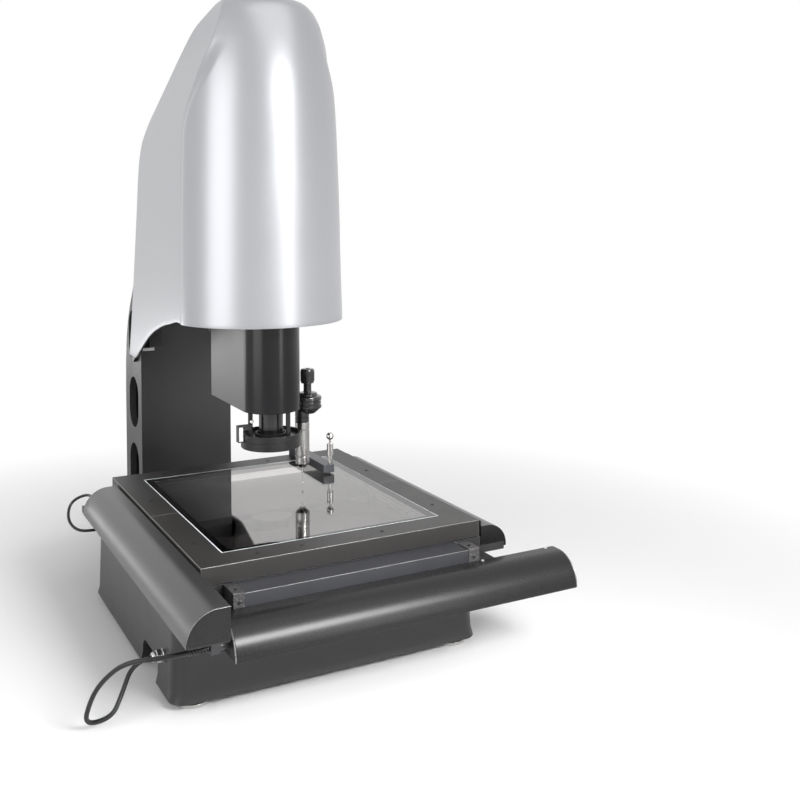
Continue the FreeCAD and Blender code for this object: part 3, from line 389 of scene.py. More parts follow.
def block(bm, x0, x1, y0, y1, z0, z1, width=0.5, material=0):
    """Box between two corners in millimetres, with its edges rounded."""
    made = bmesh.ops.create_cube(bm, size=1)["verts"]
    low, high = mm(x0, y0, z0), mm(x1, y1, z1)
    for vert in made:
        vert.co = Vector(high[axis] if vert.co[axis] > 0 else low[axis] for axis in range(3))
    edges = list(dict.fromkeys(edge for vert in made for edge in vert.link_edges))
    for face in {face for vert in made for face in vert.link_faces}:
        face.material_index = material
    bmesh.ops.bevel(bm, geom=edges, offset=width / 1000, offset_type="OFFSET", segments=2, profile=0.5,
                    affect="EDGES", clamp_overlap=True, material=-1)


def screw(bm, x, y, z, axis, radius, height, material=0):
    """Cap screw with a hexagon socket, standing on a face at the point."""
    edge = radius * 0.14
    socket = radius * 0.5
    turned(bm, ((radius, 0.0), (radius, height - edge), (radius - edge * 0.3, height - edge * 0.3),
                (radius - edge, height), (socket * 1.22, height), (socket, height - edge * 0.4, "hex"),
                (socket, height * 0.3, "hex")), facing(x, y, z, axis), 24, material)


def closed(name, bm, body, materials, node=None, angle=30):
    """Piece of closed shells, with outward faces and sharp edges kept. It may take a CAD node's place."""
    bmesh.ops.recalc_face_normals(bm, faces=bm.faces)
    soften(bm, angle)
    piece(name, bm, body, materials, [node] if node else ())


def paint(node, material):
    mesh = frame["nodes"][node].data
    mesh.materials.clear()
    mesh.materials.append(material)


# Head cover: horizontal sections of a turned nose between two flat cheeks, under a crowned roof
NOSE_Y = 55.0
# Height and nose radius
NOSE = ((480.0, 146.4), (504.0, 146.0), (609.0, 143.3), (698.0, 141.7), (782.0, 139.0), (837.0, 137.0),
        (881.0, 134.4), (925.0, 129.8), (975.0, 121.2), (1000.0, 114.6), (1017.0, 108.5), (1030.0, 102.0),
        (1040.0, 94.5), (1047.0, 85.5), (1051.5, 75.0), (1054.2, 61.0), (1055.4, 46.0))
# Height, crease half width and Y, rear half width and Y at the side, rear Y at the middle, corner radius
SECTIONS = ((380.0, 140.0, 70.0, 108.0, 561.0, 561.0, 9.0), (504.0, 139.5, 70.0, 107.0, 531.0, 531.0, 9.0),
            (593.0, 137.0, 70.0, 106.5, 512.0, 512.0, 9.0), (686.0, 135.0, 70.0, 106.0, 492.0, 492.0, 9.0),
            (780.0, 132.5, 70.0, 105.0, 474.0, 474.5, 9.0), (822.0, 131.0, 70.0, 104.5, 452.0, 454.0, 9.0),
            (859.0, 128.0, 58.0, 102.0, 410.0, 415.0, 10.0), (895.0, 122.5, 35.0, 101.0, 341.0, 352.0, 11.0),
            (942.0, 112.0, 6.0, 98.0, 256.0, 272.0, 12.0), (983.0, 98.0, -11.0, 94.0, 189.0, 207.0, 14.0),
            (1006.0, 90.5, -12.0, 91.0, 150.0, 170.0, 16.0), (1017.0, 87.0, -9.0, 88.0, 130.0, 154.0, 18.0),
            (1030.0, 82.5, -3.0, 83.0, 96.0, 139.0, 24.0), (1040.0, 78.0, 5.0, 77.0, 78.0, 126.0, 26.0),
            (1047.0, 73.0, 14.0, 70.0, 70.0, 117.0, 26.0), (1051.5, 65.5, 20.0, 61.0, 66.0, 110.0, 24.0),
            (1054.2, 55.0, 28.0, 49.0, 64.0, 101.0, 20.0), (1055.4, 42.0, 36.0, 36.0, 62.0, 90.0, 16.0))
# Y and height of the lower rim
HEM = ((-250.0, 504.0), (74.0, 504.0), (92.0, 502.4), (112.0, 499.6), (130.0, 495.4), (180.0, 488.0),
       (228.0, 478.0), (292.0, 462.0), (352.0, 441.0), (405.0, 418.0), (451.0, 397.0), (470.0, 387.0),
       (700.0, 385.0))
HEM_START = 504.0
HEM_STEPS = 10
# Opening for the column: half width, top and the Y behind which it is cut
MOUTH_HALF = 100.0
MOUTH_TOP = 566.0
MOUTH_Y = 400.0
# The roof's rim, its centre and its crown
ROOF_Z = 1055.4
ROOF_CENTRE_Y = 58.0
ROOF_CROWN = 0.6
ROOF_RINGS = (0.82, 0.62, 0.42, 0.2)
# The valley beside the crease: its depth, the arcs of valley and lip in degrees, the height where it ends and
# the stretch below in which it fades
VALLEY = 1.9
VALLEY_ARC = 18.0
LIP_ARC = 6.0
VALLEY_END = 1010.0
VALLEY_FADE = 130.0
# Steps round a half section: the nose, crowded towards the crease, the cheek, the rear corner and the back
ARC_STEPS = 54
ARC_CROWDING = 1.25
CHEEK_STEPS = 26
CORNER_STEPS = 7
CORNER_INNER = 0.35
BACK_STEPS = 14
# Steps upwards: the cheeks to the bend, on to the shoulder, and the shoulder's rise to the roof's rim
BEND_Z = 840.0
BEND_STEPS = 30
SHOULDER_Z = 1030.0
SHOULDER_STEPS = 44
SHOULDER_RISE = 25.4
RIM_STEPS = 14


def along(table, value, column):
    """Linear reading of one column of a table whose rows start with rising values."""
    if value <= table[0][0]:
        return table[0][column]
    for low, high in zip(table, table[1:]):
        if value <= high[0]:
            share = (value - low[0]) / (high[0] - low[0])
            return low[column] + share * (high[column] - low[column])
    return table[-1][column]


def smooth_along(table, value, column):
    """Cubic reading of a table, with slopes taken from the neighbouring rows."""
    keys = [row[0] for row in table]
    if value <= keys[0] or value >= keys[-1]:
        return along(table, value, column)
    index = max(i for i in range(len(keys) - 1) if keys[i] <= value)

    def slope(i):
        if i <= 0 or i >= len(keys) - 1:
            j = min(max(i, 1), len(keys) - 1)
            return (table[j][column] - table[j - 1][column]) / (keys[j] - keys[j - 1])
        left = (table[i][column] - table[i - 1][column]) / (keys[i] - keys[i - 1])
        right = (table[i + 1][column] - table[i][column]) / (keys[i + 1] - keys[i])
        if left * right <= 0:
            return 0.0
        return 2 * left * right / (left + right)

    gap = keys[index + 1] - keys[index]
    t = (value - keys[index]) / gap
    a, b = table[index][column], table[index + 1][column]
    return (a * (1 + 2 * t) * (1 - t) ** 2 + slope(index) * gap * t * (1 - t) ** 2
            + b * t * t * (3 - 2 * t) + slope(index + 1) * gap * t * t * (t - 1))


def ease(t):
    t = min(max(t, 0.0), 1.0)
    return t * t * (3 - 2 * t)


def half_section(z):
    """Right half of the cover's outline at a height, from the front middle to the rear middle."""
    radius = smooth_along(NOSE, z, 1)
    fx, fy, rx, ry, rear, corner = [smooth_along(SECTIONS, z, column) for column in range(1, 7)]
    crease = math.atan2(fx, NOSE_Y - fy)
    reach = math.hypot(fx, fy - NOSE_Y)
    groove = VALLEY * ease((VALLEY_END - z) / VALLEY_FADE)
    arc = math.radians(VALLEY_ARC)
    points = []
    for step in range(ARC_STEPS + 1):
        turn = crease * (1 - (1 - step / ARC_STEPS) ** ARC_CROWDING)
        near = ease((turn - crease + arc) / arc)
        lip = ease((turn - crease + math.radians(LIP_ARC)) / math.radians(LIP_ARC))
        r = radius + (reach - radius) * near - groove * near * (1 - lip)
        points.append((r * math.sin(turn), NOSE_Y - r * math.cos(turn)))
    for step in range(1, CHEEK_STEPS):
        t = step / CHEEK_STEPS
        length = math.hypot(rx - fx, ry - fy)
        t *= 1 - corner / max(length, corner + 1)
        points.append((fx + (rx - fx) * t, fy + (ry - fy) * t))
    start = points[-1]
    inner = max(rx - corner, rx * CORNER_INNER)

    def rear_y(x):
        return rear - (rear - ry) * (x / max(rx, 1)) ** 2

    end = (inner, rear_y(inner))
    tip = (rx, ry)
    for step in range(1, CORNER_STEPS + 1):
        t = step / CORNER_STEPS
        points.append(tuple((1 - t) ** 2 * a + 2 * t * (1 - t) * b + t * t * c
                            for a, b, c in zip(start, tip, end)))
    for step in range(1, BACK_STEPS + 1):
        x = inner * (1 - step / BACK_STEPS)
        points.append((x, rear_y(x)))
    return points


def head_levels():
    """Heights of the rows above the mouth's top."""
    levels = [MOUTH_TOP + (BEND_Z - MOUTH_TOP) * i / BEND_STEPS for i in range(1, BEND_STEPS + 1)]
    levels += [BEND_Z + (SHOULDER_Z - BEND_Z) * i / SHOULDER_STEPS for i in range(1, SHOULDER_STEPS + 1)]
    levels += [SHOULDER_Z + SHOULDER_RISE * math.sin(math.radians(90 * i / RIM_STEPS))
               for i in range(1, RIM_STEPS + 1)]
    return levels


def head_shell():
    bm = bmesh.new()
    count = len(half_section(HEM_START))
    columns = []
    for index in range(count):
        z = HEM_START
        for _ in range(6):
            z = along(HEM, half_section(z)[index][1], 1)
        columns.append(z)
    rows = []
    for step in range(HEM_STEPS + 1):
        share = step / HEM_STEPS
        row = []
        for index in range(count):
            z = columns[index] + (MOUTH_TOP - columns[index]) * share
            x, y = half_section(z)[index]
            row.append((x, y, z))
        rows.append(row)
    for z in head_levels():
        rows.append([(x, y, z) for x, y in half_section(z)])
    top = rows[-1]
    for share in ROOF_RINGS:
        rows.append([(x * share, ROOF_CENTRE_Y + (y - ROOF_CENTRE_Y) * share,
                      ROOF_Z + ROOF_CROWN * (1 - share * share)) for x, y, _ in top])
    rings = []
    for row in rows:
        right = [bm.verts.new(mm(*point)) for point in row]
        left = [bm.verts.new(mm(-x, y, z)) for x, y, z in row[1:-1]]
        rings.append(right + left[::-1])
    total = len(rings[0])
    for low, high in zip(rings, rings[1:]):
        for index in range(total):
            after = (index + 1) % total
            corners = (low[index], low[after], high[after], high[index])
            middle = sum((v.co for v in corners), Vector()) / 4 * 1000
            in_mouth = (middle.y > MOUTH_Y and abs(middle.x) < MOUTH_HALF - 1
                        and middle.z + GLASS_TOP < MOUTH_TOP)
            if not in_mouth:
                bm.faces.new(corners)
    bm.faces.new(rings[-1])
    loose = [vert for vert in bm.verts if not vert.link_faces]
    bmesh.ops.delete(bm, geom=loose, context="VERTS")
    bmesh.ops.recalc_face_normals(bm, faces=bm.faces)
    if bm.faces[0].normal.y > 0:
        bmesh.ops.reverse_faces(bm, faces=bm.faces)
    for face in bm.faces:
        face.smooth = True
    shell = piece("head_shell", bm, "frame", (HEAD_SILVER, HEAD_INSIDE), ["head_cover"],
                  weighted=False)
    wall = shell.modifiers.new("wall", "SOLIDIFY")
    wall.thickness = 0.003
    wall.offset = -1
    wall.material_offset = 1
    wall.material_offset_rim = 0
    rim = shell.modifiers.new("rim", "BEVEL")
    rim.width = 0.0008
    rim.segments = 3
    rim.limit_method = "ANGLE"
    rim.angle_limit = math.radians(60)


head_shell()


front_cable.data.materials.append(RUBBER)
rear_cable.data.materials.append(RUBBER)

for node, materials, width in (
        ("base_casting", (CAST_PAINT,), 1.6), ("column", (COLUMN_PAINT,), 1.4),
        ("connector_panel", (PLATE_COAT,), 0.6), ("saddle_plate", (PLATE_COAT,), 0.6),
        # The side covers take the painted sheen copy of the cover paint, the front cover and the caps the
        # painted shade copy
        ("left_cover", (COVER_SHEEN_COAT,), 0.4), ("right_cover", (COVER_SHEEN_COAT,), 0.4),
        ("front_cover", (FRONT_SHADE_COAT,), 0.4),
        # The scale housing's and the trims' rounded edges take the edge wear and painted highlight material
        ("right_cover_caps", (FRONT_SHADE_COAT,), 0.6), ("scale_housing", (SCALE_COAT, TRIM_WEAR_HIGHLIGHT_EDGE), 0.8),
        ("table_plate", (TRIM_COAT, TRIM_WEAR_HIGHLIGHT_EDGE), 0.6), ("front_trim", (TRIM_COAT, TRIM_WEAR_HIGHLIGHT_EDGE), 0.6),
        ("rear_trim", (TRIM_COAT, TRIM_WEAR_HIGHLIGHT_EDGE), 0.6), ("reference_bar", (BAR_COAT,), 0.8),
        ("glass_stop", (BLACK_ANODISED,), 0.5),
        ("reference_sphere", (STEEL,), 0.4), ("ring_light_bracket", (BLACK_ANODISED,), 0.5),
        ("cable_plug", (PLUG_COAT,), 0.8), ("strain_relief", (RUBBER,), 0.4),
        ("levelling_feet", (STEEL,), 0.8)):
    refined(node, materials, width)


# How far a face's normal leans upwards or outwards on a cap's rim, which gets a painted highlight, and to the
# side on a flat side, which gets a painted sheen
RIM_UP = 0.05
RIM_OUT = -0.3
SIDE_LEAN = 0.985


def outer_highlight_rim(normal):
    return normal.z > RIM_UP or normal.x < RIM_OUT


def front_highlight_rim(normal):
    return normal.z > RIM_UP or normal.y < RIM_OUT


def flat_side(normal):
    return abs(normal.x) > SIDE_LEAN


# The housing's flat sides get the painted sheen copy of its paint
refined("optics_housing", (HOUSING_COAT, HOUSING_SHEEN_SIDE), 1.0, side_faces=flat_side)
# The caps' rims that face up or outwards get a painted highlight
refined("left_cover_caps", (FRONT_SHADE_COAT, COVER_HIGHLIGHT_EDGE), 0.9, edge_faces=outer_highlight_rim)
refined("front_cover_caps", (FRONT_SHADE_COAT, COVER_HIGHLIGHT_EDGE), 0.9, edge_faces=front_highlight_rim)

for node, material in (
        ("control_box", PLATE_COAT), ("backlight_unit", BLACK_ANODISED), ("x_rails", GROUND_STEEL),
        ("x_nut_bracket", BLACK_ANODISED), ("head_arm", ARM_PAINT), ("z_rails", GROUND_STEEL),
        ("z_motor", BLACK_PLASTIC), ("z_bearing_blocks", GROUND_STEEL), ("x_carriages", GROUND_STEEL),
        ("y_rails", GROUND_STEEL), ("x_drive_motor", BLACK_PLASTIC), ("y_drive_motor", BLACK_PLASTIC),
        ("screw_bearing_blocks", BLACK_ANODISED), ("x_screw", GROUND_STEEL), ("y_screw", GROUND_STEEL),
        ("z_screw", GROUND_STEEL), ("y_carriages", GROUND_STEEL), ("y_nut_bracket", BLACK_ANODISED),
        ("stage_glass", CLEAR_GLASS),
        ("z_carriages", GROUND_STEEL), ("z_nut", BLACK_ANODISED), ("camera", BLACK_ANODISED),
        ("zoom_lens_body", BLACK_ANODISED), ("zoom_ring", BLACK_ANODISED), ("zoom_motor", BLACK_PLASTIC),
        ("stylus", STEEL)):
    paint(node, material)


# Pieces the CAD part only outlines
TRIM_SCREWS = ((-185.0, 87.0), (-186.0, -162.0), (-117.0, 245.0), (-47.0, 243.0), (225.0, 87.0),
               (225.0, -162.0), (-117.0, -245.0), (-47.0, -245.0), (87.0, -245.0), (87.0, 245.0))


def trim_screw_heads():
    bm = bmesh.new()
    for x, y in TRIM_SCREWS:
        screw(bm, x, y, GLASS_TOP, (0, 0, 1), 3.4, 0.7)
    closed("trim_screw_heads", bm, "table", (BLACK_STEEL,), "trim_screws")


def glass_edge():
    """Ground edge round the stage glass: a narrow chamfer, wider on the left and at the back."""
    bm = bmesh.new()
    outer = ((-163.0, -221.0), (202.0, -221.0), (202.0, 222.0), (-163.0, 222.0))
    inner = ((-161.2, -220.2), (201.2, -220.2), (201.2, 220.4), (-161.2, 220.4))
    rings = []
    for corners, rise in ((outer, 0.0), (outer, 0.25), (inner, 0.35), (inner, 0.05)):
        rings.append([bm.verts.new(mm(x, y, GLASS_TOP + rise)) for x, y in corners])
    rings.append(rings[0])
    for low, high in zip(rings, rings[1:]):
        for index in range(4):
            after = (index + 1) % 4
            bm.faces.new((low[index], low[after], high[after], high[index]))
    closed("stage_glass_edge", bm, "table", (GROUND_EDGE,), angle=20)


def slide_plate():
    """Plate behind the optics housing, stepped in where it comes out under the head cover's rim."""
    bm = bmesh.new()
    block(bm, -60.0, 60.0, 172.0, 192.0, 512.0, 735.0, 1.0)
    block(bm, -48.0, 48.0, 172.0, 192.0, 470.0, 513.5, 1.0)
    closed("slide_plate", bm, "z_slide", (PLATE_COAT,), "z_plate")


def probe_joint():
    """Turning head of the touch probe: stacked rings, a neck and a knurled knob, with collar and bracket."""
    bm = bmesh.new()
    turned(bm, ((13.4, 333.0), (14.0, 333.4), (24.3, 342.3), (25.0, 343.2), (25.0, 347.0), (24.4, 347.8),
                (23.0, 348.2), (23.0, 349.8), (24.0, 350.2), (24.2, 350.8), (24.2, 353.6), (24.0, 354.2),
                (23.0, 354.6), (23.0, 356.0), (24.4, 356.4), (25.0, 357.2), (25.0, 361.0), (24.2, 362.8),
                (22.0, 363.9), (18.6, 364.3), (18.0, 365.0), (17.6, 367.6), (16.0, 369.3), (13.0, 370.2),
                (8.2, 370.6), (7.2, 371.4), (7.0, 372.6), (7.0, 385.0), (7.6, 386.2)), facing(85, 40, 0), 96)
    turned(bm, ((10.4, 386.2), (11.4, 386.6), (11.6, 388.8), (12.0, 389.4), (12.5, 390.0, "knurl"),
                (12.5, 407.0, "knurl"), (12.4, 407.6), (12.2, 409.6), (11.2, 411.2), (9.4, 412.0),
                (4.0, 412.0), (3.2, 411.4), (3.0, 411.2)), facing(85, 40, 0), 96)
    turned(bm, ((11.6, 318.0), (12.5, 318.7), (12.5, 326.0), (12.0, 326.5), (12.0, 327.6), (12.5, 328.1),
                (12.5, 340.0), (12.5, 343.0)), facing(74.5, 40, 0), 64)
    block(bm, 49.6, 80.0, 28.0, 52.0, 350.0, 354.2, 1.0)
    closed("probe_joint", bm, "z_slide", (BLACK_GLOSS,), "probe_head")


def probe_barrel():
    bm = bmesh.new()
    turned(bm, ((4.4, 236.0), (5.4, 236.3), (11.6, 242.6), (12.3, 243.4), (12.7, 244.4), (12.7, 256.4),
                (12.5, 256.8), (11.8, 257.0), (11.8, 259.0), (12.5, 259.2), (12.7, 259.6), (12.7, 271.0),
                (12.5, 271.3), (12.5, 272.0), (12.7, 272.3), (12.7, 304.0), (12.2, 304.5), (12.2, 305.6),
                (12.7, 306.1), (12.7, 317.4), (12.2, 318.0)), facing(74.5, 40, 0), 72)
    closed("probe_barrel", bm, "z_slide", (PROBE_STEEL,), "probe_body", 25)


def ring_lamp():
    """Ring light: grooved body with a recess above, and lamps round the hole beneath."""
    bm = bmesh.new()
    turned(bm, ((24.4, 292.3), (25.0, 292.0), (28.0, 292.0), (29.0, 293.3), (46.0, 293.3), (47.0, 292.0),
                (50.2, 292.0), (51.0, 292.8), (51.0, 303.6), (50.6, 304.0), (50.6, 304.8), (51.0, 305.2),
                (51.0, 315.0), (50.2, 316.0), (47.8, 316.0), (47.0, 315.2), (47.0, 310.6), (46.4, 310.0),
                (27.6, 310.0), (27.0, 310.5), (27.0, 312.6), (26.3, 313.0), (26.3, 313.8), (27.0, 314.2),
                (27.0, 315.4), (26.4, 316.0), (24.6, 316.0), (24.0, 315.4), (24.0, 292.8)),
           facing(0, 0, 0), 96, loop=True)
    for step in range(24):
        turn = math.radians(15 * step)
        place = facing(37.5 * math.cos(turn), 37.5 * math.sin(turn), 293.4, (0, 0, -1))
        turned(bm, ((2.3, 0.0), (2.2, 0.4), (1.7, 0.8), (0.9, 1.1), (0.2, 1.2)), place, 12, 1)
    closed("ring_lamp", bm, "z_slide", (BLACK_ANODISED, LED_LENS), "ring_light")


def objective():
    bm = bmesh.new()
    turned(bm, ((16.0, 303.0), (16.0, 301.0), (17.0, 300.2), (20.2, 300.0), (21.0, 300.8), (21.0, 317.0),
                (20.2, 317.4), (20.2, 318.6), (21.0, 319.0), (21.0, 321.0), (20.2, 321.4), (20.2, 322.6),
                (21.0, 323.0), (21.0, 325.0), (20.4, 325.5), (20.4, 354.0), (21.0, 354.4), (21.0, 399.4),
                (20.4, 400.0)), facing(0, 0, 0), 80)
    turned(bm, ((16.0, 303.0), (15.9, 302.6), (12.0, 301.8), (8.0, 301.3), (4.0, 301.05), (0.3, 301.0)),
           facing(0, 0, 0), 48, 1)
    closed("objective", bm, "z_slide", (BLACK_GLOSS, LENS_COATING), "objective_tube")


def ring_fittings():
    """Pale plate on the ring light's connector block, and the thumb screw of its left post."""
    bm = bmesh.new()
    block(bm, -59.4, -52.4, -6.5, -5.9, 306.0, 330.0, 0.2)
    turned(bm, ((1.6, 0.0), (1.6, 2.0), (3.2, 2.2), (3.4, 2.6), (3.4, 4.6), (2.8, 5.2)),
           facing(-37.0, -3.6, 338.0, (0, -1, 0)), 24, 1)
    closed("ring_light_fittings", bm, "z_slide", (WHITE_LABEL, STEEL))


# Rough castings: features per millimetre of lumps and grit, the grit's share of the depth, and the seed that
# makes them the same in every run
LUMPS = 0.42
GRIT = 1.3
GRIT_SHARE = 0.4
CASTING_SEED = 3


def lumpy(bm, x0, x1, y0, y1, z0, z1, step, depth):
    """Rough casting: a finely divided box whose surface is pushed in and out by noise."""
    grid = [max(2, round((b - a) / step)) for a, b in ((x0, x1), (y0, y1), (z0, z1))]
    low, high = Vector((x0, y0, z0)), Vector((x1, y1, z1))
    verts = {}

    def vert(i, j, k):
        key = (i, j, k)
        if key not in verts:
            share = Vector((i / grid[0], j / grid[1], k / grid[2]))
            spot = Vector(low[n] + (high[n] - low[n]) * share[n] for n in range(3))
            push = (noise.noise_vector(spot * LUMPS) * depth
                    + noise.noise_vector(spot * GRIT) * depth * GRIT_SHARE)
            verts[key] = bm.verts.new(mm(*(spot + push)))
        return verts[key]

    for axis in range(3):
        u, v = [n for n in range(3) if n != axis]
        for side in (0, grid[axis]):
            for a in range(grid[u]):
                for b in range(grid[v]):
                    corners = []
                    for da, db in ((0, 0), (1, 0), (1, 1), (0, 1)):
                        key = [0, 0, 0]
                        key[axis], key[u], key[v] = side, a + da, b + db
                        corners.append(vert(*key))
                    bm.faces.new(corners)


def scale_castings():
    noise.seed_set(CASTING_SEED)
    bm = bmesh.new()
    for x0, x1 in ((-177.9, -161.4), (201.4, 220.6)):
        lumpy(bm, x0, x1, -315.0, -283.0, 151.0, 173.9, 1.1, 0.8)
    closed("scale_castings", bm, "saddle", (ROUGH_CASTING,), angle=180)
    bm = bmesh.new()
    for x in (-169.5, 211.0):
        screw(bm, x, -314.6, 160.0, (0, -1, 0), 2.4, 1.3)
        screw(bm, x, -300.0, 173.6, (0, 0, 1), 2.4, 1.3)
    closed("scale_casting_screws", bm, "saddle", (BLACK_STEEL,))


def gland_and_socket():
    """Cable gland on the left wall, and the socket the rear cable ends in."""
    bm = bmesh.new()
    turned(bm, ((3.4, 0.2), (5.4, 0.0), (6.8, 1.0), (7.8, 3.0), (8.0, 5.0), (8.0, 6.4), (8.6, 6.8, "hex"),
                (9.0, 7.4, "hex"), (9.0, 13.2, "hex"), (8.6, 13.8, "hex"), (8.0, 14.0), (8.0, 15.0),
                (9.4, 15.2), (9.8, 15.8), (9.8, 17.4), (9.0, 18.0), (9.0, 19.5)),
           facing(-264.0, -209.0, 62.0, (1, 0, 0)), 48)
    block(bm, -226.0, -206.0, 200.0, 216.0, 117.2, 133.0, 1.2, 1)
    turned(bm, ((3.2, -4.0), (5.2, -4.0), (5.6, -3.4), (5.6, 0.4)),
           facing(-226.0, 208.0, 125.5, (1, 0, 0)), 32, 1)
    closed("gland_and_socket", bm, "frame", (GROUND_STEEL, BLACK_PLASTIC), "cable_glands")


def back_connectors():
    """Sockets, switch and screws on the panel behind the base."""
    bm = bmesh.new()
    back = 239.0
    block(bm, 156.0, 184.0, back - 1, back + 3.0, 44.0, 66.0, 1.0)
    block(bm, 160.0, 180.0, back + 2.0, back + 3.4, 48.0, 62.0, 0.6, 1)
    for x in (165.5, 170.0, 174.5):
        block(bm, x - 0.8, x + 0.8, back + 3.0, back + 6.0, 52.0, 57.0, 0.3, 2)
    block(bm, 156.0, 176.0, back - 1, back + 2.6, 72.0, 86.0, 1.0)
    block(bm, 158.5, 173.5, back + 2.0, back + 5.2, 74.5, 83.5, 1.4, 1)
    for z in (50.0, 76.0):
        turned(bm, ((9.0, -0.5), (9.0, 1.2, "hex"), (9.0, 2.4, "hex"), (7.6, 2.8), (7.4, 7.0), (6.8, 7.6),
                    (5.4, 7.6), (5.2, 4.0)), facing(204.0, back, z, (0, 1, 0)), 48, 2)
        for k in range(5):
            turn = math.radians(72 * k)
            turned(bm, ((0.5, 3.8), (0.5, 6.2), (0.3, 6.6)),
                   facing(204.0 + 2.8 * math.cos(turn), back, z + 2.8 * math.sin(turn), (0, 1, 0)), 8, 2)
    for x in (153.5, 221.5):
        for z in (38.5, 91.5):
            screw(bm, x, back, z, (0, 1, 0), 2.2, 1.4, 2)
    closed("back_connectors", bm, "frame", (BLACK_PLASTIC, RUBBER, BRIGHT_ALLOY))


def limit_switch():
    """Bracket on the column's front, with the switch box and the bright bar that hang below it."""
    bm = bmesh.new()
    block(bm, -97.0, -55.0, 477.0, 494.0, 447.0, 490.0, 0.8)
    block(bm, -83.0, -55.0, 477.5, 494.0, 406.0, 449.0, 1.2)
    block(bm, -80.0, -58.0, 476.3, 478.5, 412.0, 430.0, 0.6)
    for z in (418.0, 425.0):
        screw(bm, -69.0, 476.3, z, (0, -1, 0), 1.8, 0.9)
    block(bm, -97.0, -73.0, 477.2, 493.8, 399.5, 406.2, 0.6, 1)
    closed("limit_switch", bm, "frame", (BLACK_PLASTIC, BRIGHT_ALLOY), "limit_bracket")


def tip_wedges():
    """Dark wedges between the tips of the head cover and the column."""
    bm = bmesh.new()
    for side in (-1, 1):
        points = ((512.0, 391.0), (520.0, 378.0), (530.0, 370.5), (540.0, 378.0), (551.0, 391.0))
        rings = [[bm.verts.new(mm(side * x, y, z)) for y, z in points] for x in (97.4, 104.5)]
        bm.faces.new(rings[0])
        bm.faces.new(rings[1][::-1])
        for index in range(5):
            after = (index + 1) % 5
            bm.faces.new((rings[0][index], rings[1][index], rings[1][after], rings[0][after]))
    bevel_edges(bm, 1.2, 2, 30, 0)
    closed("cover_tip_wedges", bm, "frame", (RUBBER,))


def cover_screws():
    bm = bmesh.new()
    screw(bm, 224.2, -318.5, 152.9, (0, 0, 1), 2.6, 1.2)
    screw(bm, 344.0, -318.5, 152.9, (0, 0, 1), 2.6, 1.2)
    for x, z in ((-222.0, 160.0), (-222.0, 186.0)):
        screw(bm, x, 227.9, z, (0, 1, 0), 2.2, 1.2)
    closed("cover_screws", bm, "saddle", (BRIGHT_ALLOY,))


trim_screw_heads()
glass_edge()
slide_plate()
probe_joint()
probe_barrel()
ring_lamp()
objective()
ring_fittings()
scale_castings()
gland_and_socket()
back_connectors()
limit_switch()
tip_wedges()
cover_screws()


# Floor, world and lamps
FLOOR_HALF = 2.6
FLOOR_GAP = 0.0005
FADE_FROM = 0.36
FADE_TO = 1.25


def floor_material():
    """Pale floor that fades into the white background away from the object, for the camera's own rays."""
    material, tree, shader = shader_nodes("floor")
    shader.inputs["Base Color"].default_value = (0.88, 0.88, 0.88, 1)
    shader.inputs["Roughness"].default_value = 0.9
    place = tree.nodes.new("ShaderNodeTexCoord")
    distance = tree.nodes.new("ShaderNodeVectorMath")
    distance.operation = "LENGTH"
    tree.links.new(place.outputs["Object"], distance.inputs[0])
    glow = tree.nodes.new("ShaderNodeEmission")
    path = tree.nodes.new("ShaderNodeLightPath")
    share = tree.nodes.new("ShaderNodeMath")
    share.operation = "MULTIPLY"
    tree.links.new(ranged(tree, distance.outputs["Value"], 0.0, 1.0, FADE_FROM, FADE_TO), share.inputs[0])
    tree.links.new(path.outputs["Is Camera Ray"], share.inputs[1])
    mix = tree.nodes.new("ShaderNodeMixShader")
    tree.links.new(share.outputs[0], mix.inputs["Fac"])
    tree.links.new(shader.outputs["BSDF"], mix.inputs[1])
    tree.links.new(glow.outputs["Emission"], mix.inputs[2])
    tree.links.new(mix.outputs["Shader"], tree.nodes["Material Output"].inputs["Surface"])
    return material


floor_mesh = bpy.data.meshes.new("floor")
floor_mesh.from_pydata([(x * FLOOR_HALF, y * FLOOR_HALF, 0) for x, y in ((-1, -1), (1, -1), (1, 1), (-1, 1))],
                       [], [(0, 1, 2, 3)])
floor_mesh.materials.append(floor_material())
floor = bpy.data.objects.new("floor", floor_mesh)
floor.location = (0, 0.1, -GLASS_TOP / 1000 - FLOOR_GAP)
bpy.context.scene.collection.objects.link(floor)

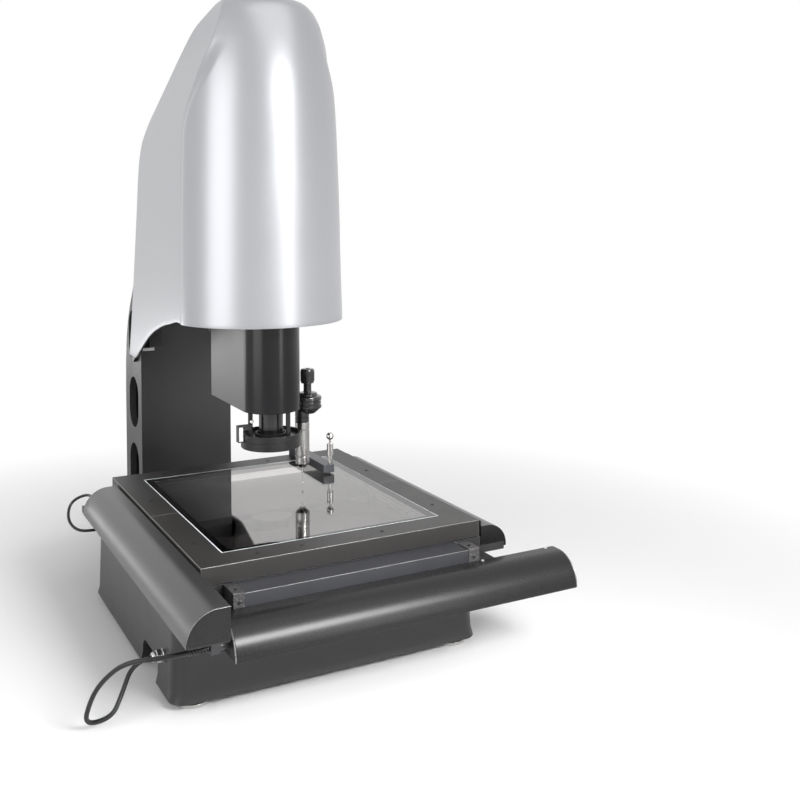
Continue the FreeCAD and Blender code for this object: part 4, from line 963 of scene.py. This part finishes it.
# The world gives soft light, and is plain white for the camera, in mirrors and through the glass
world = bpy.data.worlds.new("studio")
bpy.context.scene.world = world
world.use_nodes = True
sky = world.node_tree
plain = sky.nodes["Background"]
plain.inputs["Color"].default_value = (1, 1, 1, 1)
plain.inputs["Strength"].default_value = 0.5
white = sky.nodes.new("ShaderNodeBackground")
white.inputs["Color"].default_value = (1, 1, 1, 1)
white.inputs["Strength"].default_value = 1.0
rays = sky.nodes.new("ShaderNodeLightPath")
first = sky.nodes.new("ShaderNodeMath")
first.operation = "MAXIMUM"
second = sky.nodes.new("ShaderNodeMath")
second.operation = "MAXIMUM"
sky.links.new(rays.outputs["Is Camera Ray"], first.inputs[0])
sky.links.new(rays.outputs["Is Glossy Ray"], first.inputs[1])
sky.links.new(first.outputs[0], second.inputs[0])
sky.links.new(rays.outputs["Is Transmission Ray"], second.inputs[1])
both = sky.nodes.new("ShaderNodeMixShader")
sky.links.new(second.outputs[0], both.inputs["Fac"])
sky.links.new(plain.outputs["Background"], both.inputs[1])
sky.links.new(white.outputs["Background"], both.inputs[2])
sky.links.new(both.outputs["Shader"], sky.nodes["World Output"].inputs["Surface"])


def softbox(name, place, target, width, height, power, spread=180):
    """Rectangular lamp that the camera doesn't see, with its power in watts and its spread in degrees."""
    lamp = bpy.data.lights.new(name, "AREA")
    lamp.shape = "RECTANGLE"
    lamp.size = width
    lamp.size_y = height
    lamp.energy = power
    lamp.spread = math.radians(spread)
    obj = bpy.data.objects.new(name, lamp)
    obj.location = place
    obj.rotation_euler = (Vector(target) - Vector(place)).to_track_quat("-Z", "Y").to_euler()
    obj.visible_camera = False
    bpy.context.scene.collection.objects.link(obj)


softbox("left_lamp", (-2.4, -0.75, 0.75), (0, 0, 0.3), 1.7, 2.0, 23)
softbox("rear_left_lamp", (-1.3, 2.3, -0.11), (0, 0.2, -0.12), 1.5, 0.14, 3.2)
softbox("front_lamp", (0.92, -2.4, 0.6), (0, 0.0, 0.4), 0.5, 1.7, 10)
softbox("top_lamp", (0.35, -1.2, 2.4), (0, 0, 0.3), 2.2, 2.0, 12)
softbox("cover_lamp", (0.45, -1.75, 1.05), (0, -0.35, -0.09), 0.9, 0.6, 6, 60)

bpy.context.scene.view_settings.view_transform = "Standard"
